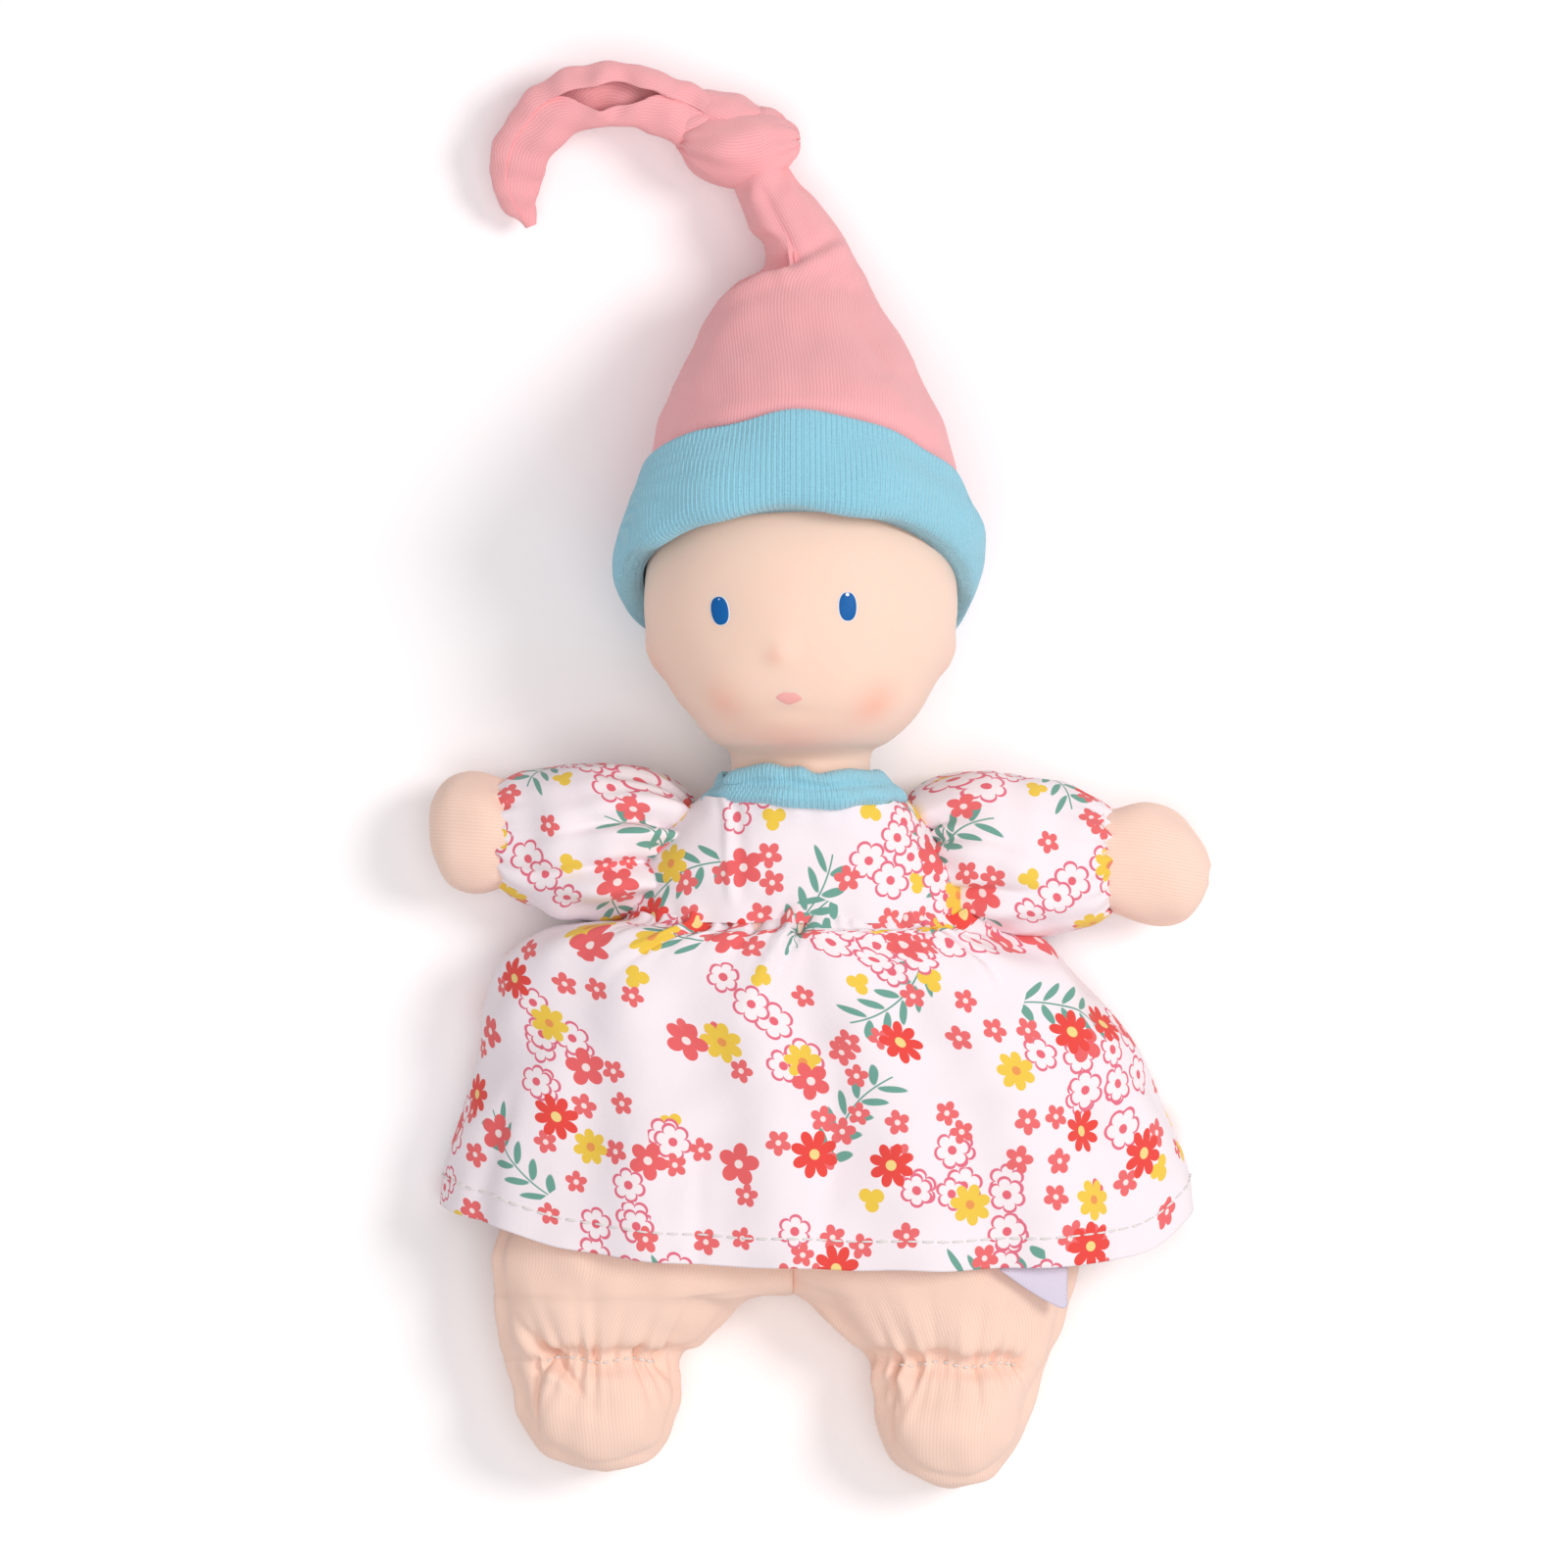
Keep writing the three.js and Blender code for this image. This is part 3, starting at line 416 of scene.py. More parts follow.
def flower(ground, motif, chosen, look):
    # the outline reaches out at the petals and dips between them; a heart lies in the middle
    turned = motif["angle"] * (look["petals"] / (2 * math.pi))
    wave = calc("SINE", (1.0 - calc("PINGPONG", turned, 0.5) * 2.0) * (math.pi / 2)) ** look["round"]
    edge = (0.9 + motif["size"] * 0.2) * (look["reach"] - look["dip"] + wave * look["dip"])
    layers = [(edge, look["petal"]), (look["heart"], look["middle"])]
    if "line" in look:
        layers.insert(1, (edge - look["line"], look["inner"]))
    for limit, code in layers:
        ground = mixColour(inside(limit, motif["radius"]) * chosen, ground, paint(code))
    return ground


def sprig(ground, motif, chosen, look):
    # a curved stem with paired leaves along it
    a = motif["radius"] * calc("COSINE", motif["angle"])
    b = abs(motif["radius"] * calc("SINE", motif["angle"]) + a * a * look["bend"] - 0.6)
    step = calc("FLOORED_MODULO", a - b * look["slant"], look["pitch"]) - look["pitch"] / 2
    oval = (abs(step) / (look["pitch"] * 0.27)) ** 1.7
    oval += (abs(b - look["leaf"] * 0.55) / (look["leaf"] / 2)) ** 1.7
    shape = calc("MAXIMUM", inside(1.0, oval, 4.0), inside(look["stem"], b, 9.0))
    shape *= calc("LESS_THAN", abs(a), look["half"]) * chosen
    return mixColour(shape, ground, paint(look["green"]))


cottonPrint = dict(
    ground="#F9EDF2", threads=0.42, rumple=14.0,
    sprig=dict(half=10.5, pitch=4.4, leaf=4.4, stem=0.24, bend=0.022, slant=0.75, green="#6FA596"),
    bud=dict(petals=3, reach=2.6, dip=1.3, round=0.8, heart=0.1, petal="#F4CC4A", middle="#F4CC4A"),
    blossom=dict(petals=6, reach=3.9, dip=1.3, round=0.45, heart=1.0, petal="#E77187", middle="#EB6A78",
                 line=0.62, inner="#FBEFF2"),
    small=dict(petals=5, reach=2.75, dip=1.3, round=0.8, heart=0.65, petal="#EE6E70", middle="#FBE6E4"),
    large=dict(petals=5, reach=4.4, dip=2.0, round=0.8, heart=0.95, petal="#ED6668", middle="#FBE6E4"),
    gold=dict(petals=7, reach=4.3, dip=1.7, round=0.7, heart=1.0, petal="#F3CB4B", middle="#EE9A55"),
    daisy=dict(petals=8, reach=4.9, dip=2.5, round=0.6, heart=1.15, petal="#EC4A42", middle="#F6D98A"),
    # from below to above: the motif, how far apart it is strewn, how far the net of places is
    # shifted, how loosely it lies on that net, and the chances that pick it
    layers=(("sprig", 33.0, 3.1, 0.5, dict(pick=(0.0, 0.5))),
            ("sprig", 41.0, 9.4, 0.5, dict(pick=(0.0, 0.45))),
            ("bud", 15.0, 8.3, 0.7, dict(pick=(0.78, 1.0))),
            ("blossom", 8.8, 5.7, 0.3, dict(grove=(0.575, 1.0))),
            ("blossom", 9.6, 17.2, 0.3, dict(grove=(0.62, 1.0))),
            ("small", 8.4, 32.4, 0.5, dict(grove=(0.36, 0.53), pick=(0.0, 0.6))),
            ("small", 21.0, 27.9, 0.7, dict(pick=(0.0, 0.6))),
            ("gold", 27.0, 14.6, 0.7, dict(pick=(0.0, 0.6))),
            ("large", 25.0, 52.7, 0.7, dict(pick=(0.0, 0.5))),
            ("daisy", 27.0, 44.2, 0.65, dict(pick=(0.0, 0.72)))))


def cottonLook():
    material, tree = newLook("printed_cotton_look", 0.8, 0.1, 0.25)
    place, u, v = clothPlace(tree)
    colour = paint(cottonPrint["ground"])
    for kind, cell, shiftBy, spread, limits in cottonPrint["layers"]:
        motif = scattered(place, cell, shiftBy, spread)
        fits = [between(motif[chance], *limit) for chance, limit in limits.items()]
        chosen = fits[0] * fits[1] if len(fits) > 1 else fits[0]
        draw = sprig if kind == "sprig" else flower
        colour = draw(colour, motif, chosen, cottonPrint[kind])
    across = 2 * math.pi / cottonPrint["threads"]
    weave = (calc("SINE", u * across) + calc("SINE", v * across)) * 0.35
    return finishLook(material, colour, weave + cloudy(place, 6.0, 4.0) * cottonPrint["rumple"], 0.015)


printedCotton = cottonLook()

headPaint = dict(base="#FFD9C6", warm="#FFAB93", blushAndShade=stationRow(
    "x y z size amount",
    (14.0, 48.8, 57.0, 6.4, 0.5), (-14.8, 49.0, 57.0, 6.2, 0.36),  # the cheeks
    (-5.2, 57.4, 65.6, 2.6, 0.22), (-2.0, 40.0, 50.0, 13.0, 0.36),  # painted warm shade under the nose and on the chin
    (-30.0, 54.0, 38.0, 15.0, 0.3), (29.0, 54.0, 34.0, 12.0, 0.2)))  # painted warm shade on the sides of the jaw


def rubberLook():
    # matte rubber with warmer colour laid on in round clouds: painted blush on the cheeks, and painted warm
    # shade under the nose, on the chin and on the sides of the jaw
    material, tree = newLook("head_rubber_look", 0.55, 0.15, 0.28)
    place = bodyPlace(tree)
    colour = paint(headPaint["base"])
    for tint in headPaint["blushAndShade"]:
        away = Amount(newNode(tree, "VectorMath", (
            place, (tint["x"], tint["y"], tint["z"])), operation="DISTANCE"), "Value")
        spread = (1.0 - away / (tint["size"] * 1.5)).clamped()
        amount = (spread * spread * tint["amount"] * 1.6).clamped()
        colour = mixColour(amount, colour, paint(headPaint["warm"]))
    grain = cloudy(place, 0.5, 2.0) + cloudy(place, 3.0) * 0.6
    return finishLook(material, colour, grain, 0.02, **{
        "Subsurface Weight": 0.3, "Subsurface Radius": (1.0, 0.45, 0.3), "Subsurface Scale": 0.005})


headRubber = rubberLook()


def enamelLook(name, code, darker, roughness):
    # paint laid on the rubber: a little uneven, glossy or not
    material, tree = newLook(name, roughness, 0.0, 0.22)
    cloud = cloudy(bodyPlace(tree), 1.2)
    return finishLook(material, mixColour(cloud, paint(code), paint(darker)), cloud, 0.02)


eyeBlue = enamelLook("eye_blue_look", "#0564AE", "#045CA4", 0.5)
eyeWhite = enamelLook("eye_white_look", "#FFFFFF", "#F6F6F6", 0.25)
mouthPink = enamelLook("mouth_pink_look", "#FBB7B0", "#F7ADA8", 0.55)


def twistLook(name, base, groove, pitch, relief, roughness, sheen):
    # thread, elastic and closure tape: strands wound round the length; the grooves between the strands get
    # the darker colour, which is painted shade
    material, tree = newLook(name, roughness, sheen, 0.3)
    u, v = clothPlace(tree)[1:]
    strand = calc("PINGPONG", (v + u * 0.5) / pitch, 0.5) * 2.0
    return finishLook(material, mixColour(strand, paint(groove), paint(base)), strand, relief)


whiteThread = twistLook("white_thread_look", "#FFFDFB", "#E9E2DE", 1.2, 0.08, 0.7, 0.3)
elasticTape = twistLook("elastic_look", "#FBF3F3", "#E8DEE0", 0.7, 0.08, 0.75, 0.2)
closureTape = twistLook("closure_tape_look", "#F6F1EF", "#DDD6D3", 0.6, 0.12, 0.9, 0.3)


def satinLook():
    material, tree = newLook("satin_look", 0.42, 0.2, 0.5)
    u, v = clothPlace(tree)[1:]
    floats = calc("SINE", (u + v * 0.2) * (2 * math.pi / 0.3))
    # the floats are lighter on top and darker between them: painted shade along the floats
    colour = mixColour((floats + 1.0) * 0.5, paint("#D9CDE4"), paint("#EBE2F2"))
    return finishLook(material, colour, floats, 0.02, Anisotropic=0.4)


whiteSatin = satinLook()
print("looks made,", len(bpy.data.materials), "materials")


headShape = dict(
    stations=stationRow(
        "y half low high", (33.5, 14.2, 10.6, 39.2), (37.0, 14.2, 10.4, 39.6),
        (39.0, 14.9, 10.3, 43.6), (40.3, 17.3, 10.3, 50.8), (42.4, 19.9, 10.2, 55.7),
        (45.6, 22.7, 9.6, 59.6), (50.28, 26.0, 8.4, 62.9), (59.8, 30.4, 6.6, 65.6),
        (70.0, 31.7, 6, 66.2), (84.28, 29.4, 7.5, 64.0), (96.52, 22.1, 14.4, 57.4),
        (104.0, 12.7, 23.4, 48.7), (106.72, 5.1, 30.9, 41.1)),
    # nose, its bridge, cheeks, eye hollows, chin, the dip over it and the lips
    features=stationRow(
        "x y wide tall height", (-4.3, 58.0, 2.7, 2.5, 0.85), (-4.0, 62.0, 3.4, 5.0, 0.22),
        (-15.5, 50.5, 9, 7, 0.9), (12.0, 51.0, 9, 7, 0.9), (-15.5, 66.0, 6.5, 6, -0.5),
        (9.0, 66.5, 6.5, 6, -0.5), (-2.6, 44.0, 7.0, 3.0, 0.5), (-2.6, 46.8, 5, 1.2, -0.25),
        (-2.4, 49.2, 3.2, 1.9, 0.3)),
    ear=dict(x=30.6, y=58.0, z=34, height=1.6, hollow=0.9))


def headPiece():
    # the hollow rubber head: brow, nose, jowls, chin and two small ears on an egg
    for s in headShape["stations"]:
        s["x"] = 0.6 * math.exp(-((s["y"] - 45.5) / 4) ** 2)  # the jaw is a little fuller on the left
    grid = ovalRows(smoothRow(headShape["stations"], 16), 220, 2.15)
    x, y, z = (grid[..., k] for k in range(3))
    grow = sum(f["height"] * bell(x - f["x"], f["wide"]) * bell(y - f["y"], f["tall"])
               for f in headShape["features"])
    grow *= ease((z - 40) / 12)
    ear = headShape["ear"]
    for side in (-1, 1):
        lobe = bell(x - side * ear["x"], 6) * bell(y - ear["y"], 3.6) * bell(z - ear["z"], 6)
        hollow = bell(y - ear["y"], 1.5) * bell(z - ear["z"] - 2, 2.8) * lobe
        grow += ear["height"] * lobe - ear["hollow"] * hollow
    return gridObject("head", grid + facing(grid) * grow[..., None], headRubber, caps=(-1,))


def surfaceBelow(piece):
    # finds the front of a piece under a place seen from above
    tree = BVHTree.FromObject(piece, bpy.context.evaluated_depsgraph_get())

    def drop(x, y):
        place, out = tree.ray_cast(Vector((x * mm, y * mm, 0.2)), Vector((0, 0, -1)))[:2]
        return np.array(place) / mm, np.array(out)

    return drop


def paintedShape(name, drop, look, material):
    # a thin domed shape lying on the face: an oval, or a mouth where look has corners
    rings, count = 9, 48
    grid = np.zeros((rings + 1, count, 3))
    tilt = math.radians(look["tilt"])
    for i in range(rings + 1):
        share = i / rings
        for k in range(count):
            angle = 2 * math.pi * k / count
            across = powered(math.cos(angle), look.get("corners", 2.4))
            up = powered(math.sin(angle), look.get("corners", 2.2))
            if "corners" in look and up > 0:
                up -= 0.28 * bell(across, 0.22)  # the dip in the upper lip
            across, up = across * look["wide"] / 2 * share, up * look["tall"] / 2 * share
            at, out = drop(look["x"] + across * math.cos(tilt) - up * math.sin(tilt),
                           look["y"] + across * math.sin(tilt) + up * math.cos(tilt))
            lift = look["rim"] + look["dome"] * (1 - share ** 2)
            grid[i, k] = at + out * (lift if i < rings else -0.15)
    flat = np.concatenate([grid, grid[:, :1]], 1)[..., :2]
    return gridObject(name, grid[1:], material, caps=(0,), uv=flat[1:])


head = headPiece()
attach(head, "head")
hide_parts("head_shell")
onFace = surfaceBelow(head)
for side, eye in (("left", dict(x=9.3, y=67.4, wide=3.75, tall=6.1, tilt=1, glint=0.85)),
                  ("right", dict(x=-16.2, y=66.6, wide=3.75, tall=6.1, tilt=9, glint=0.3))):
    ring = dict(eye, wide=eye["wide"] + 0.4, tall=eye["tall"] + 0.4, rim=0.05, dome=0.03)
    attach(paintedShape(side + "_eye_white", onFace, ring, eyeWhite), "head")
    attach(paintedShape(side + "_eye_blue", onFace, dict(eye, rim=0.13, dome=0.3), eyeBlue), "head")
    # a small raised white disc near the top of each eye: a painted highlight standing for the gloss paint's
    # reflection
    glint = dict(x=eye["x"] - 0.1, y=eye["y"] + 2.3, wide=eye["glint"], tall=eye["glint"] * 1.2, tilt=0,
                 rim=0.24, dome=0.06)
    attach(paintedShape(side + "_eye_glint", onFace, glint, eyeWhite), "head")
mouth = dict(x=-2.4, y=49.2, wide=5.7, tall=2.9, tilt=-3, rim=0.04, dome=0.1, corners=1.35)
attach(paintedShape("mouth", onFace, mouth, mouthPink), "head")
print("head made")

torsoShape = dict(uneven=0.25, stations=stationRow(
    "x y half low high rest", (-3.2, -65.4, 53.0, -0.4, 33.4, 0.8),
    (-3.06, -52.16, 55.0, -0.4, 35.8, 0.8), (-2.04, -34.61, 48.9, -0.4, 36.8, 1.6),
    (-1.02, -15.66, 39.0, -0.4, 36.8, 2.5), (0, 4.0, 33.7, -0.4, 36.8, 3.4),
    (0, 18.04, 28.6, 0, 36.8, 3.4), (0, 25.6, 22.0, 2.4, 36.8, 3.4), (0, 31.0, 15.6, 8.9, 40.0, 3.4)))
neckShape = dict(stations=stationRow(
    "y half low high", (24.4, 8, 16.5, 32.5), (26.5, 10.6, 14.0, 35.2), (31.0, 10.9, 13.7, 35.4),
    (35.2, 10.2, 14.3, 34.7), (36.1, 9.2, 15.3, 33.7), (38.0, 10.8, 13.8, 35.3),
    (42.0, 10.4, 14.2, 34.8), (44.0, 7, 17.5, 31.5), x=0))
tieShape = dict(turns=2, radius=9.75, y=35.7, z=24.5, rise=0.55, thick=0.9)

grid = ovalRows(smoothRow(torsoShape["stations"], 8), 140, 2.3)
grid = grid + facing(grid) * (torsoShape["uneven"] * lumps(grid, 22, 5))[..., None]
grid[..., 2] = np.maximum(grid[..., 2], 0.3)
torso = gridObject("torso", grid, bodyKnit, caps=(0, -1))
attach(torso, "torso")
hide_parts("torso_skin", "torso_filling")

# the stuffed neck is tied with a cord inside the head
grid = ovalRows(smoothRow(neckShape["stations"], 6), 90, 2.0)
neck = gridObject("neck", grid, bodyKnit, caps=(0, -1))
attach(neck, "neck")
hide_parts("neck_plug")
turn = np.linspace(0, 2 * math.pi * tieShape["turns"], 90)
route = np.stack([np.cos(turn) * tieShape["radius"], tieShape["y"] + tieShape["rise"] * turn / turn[-1],
                  tieShape["z"] + np.sin(turn) * tieShape["radius"]], 1)
cord = tubeAlong(route, tieShape["thick"] / 2, 10)
neckTie = gridObject("neck_tie_cord", cord, whiteThread, caps=(0, -1))
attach(neckTie, "neck")
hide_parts("neck_tie")

# r is half the arm's width; down and up are measured from its middle line
armMiddle = 14.5
armStations = dict(left=stationRow(
        "x y r down up", (23.95, 19.12, 4.3, 4.3, 4.3), (27.1, 19.12, 6.9, 6.9, 6.9),
        (31.8, 19.0, 7.5, 7.5, 7.5), (44.9, 18.0, 9.6, 9.6, 9.6), (58.5, 16.9, 9.4, 9.4, 9.0),
        (63.5, 16.4, 10.4, 9.8, 9.8), (70.6, 15.8, 11.9, 10.2, 10.4), (77.4, 14.6, 10.6, 8.8, 9.0),
        (81.8, 13.8, 6.4, 5.2, 5.2), (83.2, 13.4, 1.9, 1.6, 1.6)),
    right=stationRow(
        "x y r down up", (-23.95, 19.12, 4.3, 4.3, 4.3), (-27.1, 19.12, 6.9, 6.9, 6.9),
        (-31.6, 19.2, 7.5, 7.5, 7.5), (-43.3, 20.2, 9.6, 9.6, 9.6), (-55.4, 21.1, 9.4, 9.4, 9.0),
        (-60.0, 21.5, 10.4, 9.8, 9.8), (-66.0, 22.0, 12.1, 10.2, 10.4), (-71.7, 22.4, 10.5, 8.8, 9.0),
        (-75.0, 22.6, 5.8, 4.8, 4.8), (-75.8, 22.7, 1.6, 1.4, 1.4)))


def armPiece(side):
    # a stuffed mitten: rounded hand, soft thumb side and a seam along the outline
    stations = [dict(s, low=armMiddle - s["down"], high=armMiddle + s["up"], half=s["r"], turn=math.pi / 2)
                for s in armStations[side]]
    grid = ovalRows(smoothRow(stations, 9), 110, 2.0)
    out = facing(grid)
    reach = np.abs(grid[..., 0])
    seam = bell(np.abs(out[..., 2]) * 10, 1.3) * 0.45
    around = np.arctan2(grid[..., 2] - armMiddle, grid[..., 1] - 19)
    pucker = 0.5 * (1 - ease((reach - 58) / 6)) * ease((reach - 52) / 5) * np.cos(around * 13)
    grid = grid + out * (seam + 0.35 * lumps(grid, 11, 8) + pucker)[..., None]
    grid[..., 2] = np.maximum(grid[..., 2], 0.3)
    return gridObject(side + "_arm", grid, bodyKnit, caps=(0, -1))


for side in ("left", "right"):
    arm = armPiece(side)
    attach(arm, side + "_arm")
    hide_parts(side + "_arm_skin", side + "_arm_filling")
print("body and arms made")

# x and y along the leg; slope, threadHalf and ankle place the running thread that draws the leg in;
# meet is where the two legs touch, and crease is the fold beside the foot's seam
legLooks = (
    dict(side="left", sign=1, seed=21, ankle=(32.0, -86.3), slope=-0.02, meet=-1.78, threadHalf=13.0,
         crease=18.2, fold=dict(x=-13.5, y=-3.0, turn=0.25, deep=1.0, long=5.0), stations=stationRow(
             "x y half high rest", (21.0, -57.0, 31.0, 31.8, 1.2), (22.6, -63.0, 33.4, 32.4, 0.8),
             (23.8, -67.5, 31.8, 32.2, 0.6), (25.3, -70.6, 29.8, 31.75, 0.4),
             (26.8, -72.3, 27.8, 31.4, 0.35), (28.0, -73.8, 26.1, 31.0, 0.25),
             (28.8, -76.0, 24.6, 30.4, 0.1), (29.8, -79.2, 22.5, 29.4, 0),
             (31.0, -83.2, 19.9, 27.8, 0), (31.9, -86.6, 18.3, 26.4, 0), (31.6, -91.0, 16.7, 26.8, 0),
             (30.7, -97.0, 15.5, 27.9, 0), (30.4, -102.6, 13.5, 26.9, 0),
             (30.6, -107.2, 10.4, 24.0, 0), (31.1, -110.2, 6.4, 20.2, 0), (31.1, -111.6, 2.6, 16.0, 0))),
    dict(side="right", sign=-1, seed=34, ankle=(-40.6, -85.4), slope=-0.02, meet=1.62, threadHalf=12.0,
         crease=-54.0, fold=dict(x=10.5, y=0.5, turn=-0.75, deep=2.1, long=7.0), stations=stationRow(
             "x y half high rest", (-27.7, -57.0, 32.7, 31.8, 1.2), (-27.4, -63.0, 34.8, 32.4, 0.8),
             (-27.7, -67.3, 34.6, 32.2, 0.6), (-29.1, -70.3, 33.1, 31.8, 0.4),
             (-31.5, -71.9, 30.6, 31.45, 0.35), (-34.7, -72.8, 27.5, 31.2, 0.3),
             (-36.9, -73.9, 25.2, 30.9, 0.2), (-38.3, -75.8, 23.7, 30.4, 0.1),
             (-39.7, -78.8, 22.0, 29.5, 0), (-41.1, -82.6, 20.1, 28.0, 0),
             (-42.3, -86.6, 17.6, 26.2, 0), (-42.2, -91.2, 16.4, 26.8, 0),
             (-42.1, -96.4, 16.1, 27.9, 0), (-41.6, -101.4, 14.2, 26.6, 0),
             (-41.4, -105.0, 11.2, 23.6, 0), (-41.1, -107.6, 6.7, 19.6, 0),
             (-40.6, -108.8, 2.6, 16.0, 0))))


def threadLine(look, x):
    # the running thread's y at a place across the leg
    return look["ankle"][1] + look["slope"] * (x - look["ankle"][0]) + 0.5 * np.sin(x * 0.5)


def legPiece(look):
    # stuffed knit, drawn in at the ankle
    stations = [dict(s, low=-0.6) for s in look["stations"]]
    grid = ovalRows(smoothRow(stations, 12), 260, 2.2, 2.6)
    x, y, z = (grid[..., k] for k in range(3))
    out = facing(grid)
    sign, ankleY = look["sign"], look["ankle"][1]
    reach = (x - look["ankle"][0]) * sign
    away = y - threadLine(look, x)
    # the thread draws the front in; the outer seam stays straight
    drawn = ease((z - 8) / 8) * (1 - 0.9 * ease((reach - 11) / 5))
    rng = np.random.default_rng(look["seed"])
    pucker = np.zeros_like(x)
    for _ in range(19):
        at, up, down = rng.uniform(-13, 13), rng.uniform(3.0, 9.0), rng.uniform(2.5, 7.0)
        deep, fan = rng.uniform(0.5, 1.25), rng.uniform(0.02, 0.05)
        line = reach - at * (1 + fan * np.abs(away))
        fade = np.exp(-np.abs(away) / np.where(away > 0, up, down))
        pucker += deep * (0.4 * bell(line - 1.5, 0.9) - bell(line, 0.75 + 0.05 * np.abs(away))) * fade
    grow = (pucker - 2.6 * bell(away, 2.1)) * drawn
    # the deepest pucker sits at the outer end of the thread and folds the cloth over
    fold = look["fold"]
    c, s = math.cos(fold["turn"]), math.sin(fold["turn"])
    across = (reach - fold["x"]) * c + (away - fold["y"]) * s
    along = (away - fold["y"]) * c - (reach - fold["x"]) * s
    lip = 0.8 * bell(across - 2.0, 1.4) - 1.4 * bell(across, 0.9)
    grow += fold["deep"] * lip * bell(along, fold["long"]) * ease((z - 6) / 6)
    # the seam stands up along the outline with a small valley beside it
    level = out[..., 2] - 0.3 * ease(0.3 - (out[..., 0] + out[..., 1]) * 0.8)
    seam = (0.85 * bell(level, 0.1) - 0.5 * bell(level - 0.24, 0.09)) * ease((y - y.min() - 0.2) / 3)
    grow += seam * (1 - 0.8 * bell(x + 4, 13) * ease((y + 78) / 4))
    # below the thread a crease parts the foot's front from the strip along its seam
    parting = 0.5 * bell(x - look["crease"] - 2.4, 2.0) - 1.3 * bell(x - look["crease"], 0.75)
    grow += parting * ease((ankleY + 1.5 - y) / 3) * ease((y - ankleY + 17) / 6) * ease((z - 8) / 8)
    grow += 0.4 * lumps(grid, 12, look["seed"]) * ease((z - 3) / 8)
    grid = grid + out * grow[..., None]
    # the front runs smoothly past the arch between the legs
    calm = (0.5 * bell(grid[..., 1] + 73, 5) * ease((grid[..., 2] - 17) / 8))[..., None]
    for _ in range(40):
        grid[1:-1] += calm[1:-1] * ((grid[2:] + grid[:-2]) / 2 - grid[1:-1])
    # both legs end on the middle seam, where they meet
    inner = look["meet"] * sign
    beyond = sign * grid[..., 0] < look["meet"]
    grid[..., 0] = np.where(beyond, inner + (grid[..., 0] - inner) * 0.01, grid[..., 0])
    grid[..., 2] = np.maximum(grid[..., 2], 0.25)
    piece = gridObject(look["side"] + "_leg", grid, bodyKnit, caps=(0, -1))
    piece.data.set_sharp_from_angle(angle=math.radians(48))
    return piece


def ankleStitches(look, leg):
    # the thread shows as a line of stitches along the groove
    drop = surfaceBelow(leg)
    ends = look["ankle"][0] - look["threadHalf"], look["ankle"][0] + look["threadHalf"]
    places = [drop(x, threadLine(look, x)) for x in np.linspace(*ends, 60)]
    path, outward = (np.array([place[k] for place in places]) for k in range(2))
    return stitches(look["side"] + "_ankle_stitches", path + outward * 0.05, outward,
                    dict(pitch=2.3, length=1.3, lift=0.25, thread=0.5), whiteThread)


for look in legLooks:
    leg = legPiece(look)
    thread = ankleStitches(look, leg)
    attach(thread, look["side"] + "_leg")
    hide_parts(look["side"] + "_ankle_thread")
    look["side"] + "_leg"
    look["ankle"][0] * mm
    look["ankle"][0] * mm
    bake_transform(leg)
    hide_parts(look["side"] + "_leg_skin", look["side"] + "_leg_filling")
print("legs made")

# a folded satin tape sewn into the thigh's seam, one corner turned over
labelShape = dict(x=40.4, y=-66.0, wide=13.8, long=8.6, thick=0.35)
rows, count = 22, 30
s, t = np.meshgrid(np.arange(count) / (count - 1), np.arange(rows) / (rows - 1))
x = labelShape["x"] + s * labelShape["wide"]
y = labelShape["y"] - t * labelShape["long"] * (1 - np.abs(s - 0.93) ** 1.2 * 1.02)
z = 32.9 - 0.012 * (x - 38) ** 2 - 0.055 * np.maximum(-66.5 - y, 0) ** 1.45  # it follows the leg
z += 0.5 * np.sin(s * 3.0 + t * 2) * t
careLabel = gridObject("care_label_tape", np.dstack([x, y, z]), whiteSatin, wrap=False)
thicken(careLabel, labelShape["thick"])
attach(careLabel, "left_leg")
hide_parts("care_label")


bodiceShape = dict(
    cloth=0.5, front=stationRow(
        "y half low high", (3.9, 35.4, -1.2, 38.4), (9.0, 33.9, -1.0, 39.2), (18.0, 30.6, -0.8, 38.9),
        (25.6, 24.3, 1.6, 38.4), (29.2, 20.4, 4.8, 40.2), x=0),
    back=stationRow(
        "y half low high", (4.2, 35.2, -1.2, 38.2), (9.0, 33.8, -1.0, 39.0), (18.0, 30.4, -0.8, 38.8),
        (25.6, 24.1, 1.6, 38.3), (28.6, 20.4, 4.8, 40.0), x=0),
    # the back halves lie flat under the doll, the left one outermost
    lift=dict(left=0.35, right=2.6))


def bodiceFront():
    span = (math.radians(-6), math.radians(186))
    grid = ovalRows(smoothRow(bodiceShape["front"], 14), 130, 2.3, span=span)
    x, y = grid[..., 0], grid[..., 1]
    # one pressed crease down the right side of the chest, and pulls towards the seams
    crease = x + 14.8 + (y - 20) * 0.06
    grow = (0.9 * bell(crease, 0.9) - 0.7 * bell(crease - 2.2, 1.6)) * ease((y - 6) / 6)
    grow += 0.35 * np.cos(x * 0.9 + 2 * np.sin(x * 0.21)) * bell(y - 4, 5)
    grow += 0.3 * np.cos(x * 1.1 + 1) * bell(y - 29, 4)
    grow += 0.35 * lumps(grid, 12, 3)
    grid = grid + facing(grid, wrap=False) * grow[..., None]
    return gridObject("bodice_front_cloth", grid, printedCotton, wrap=False)


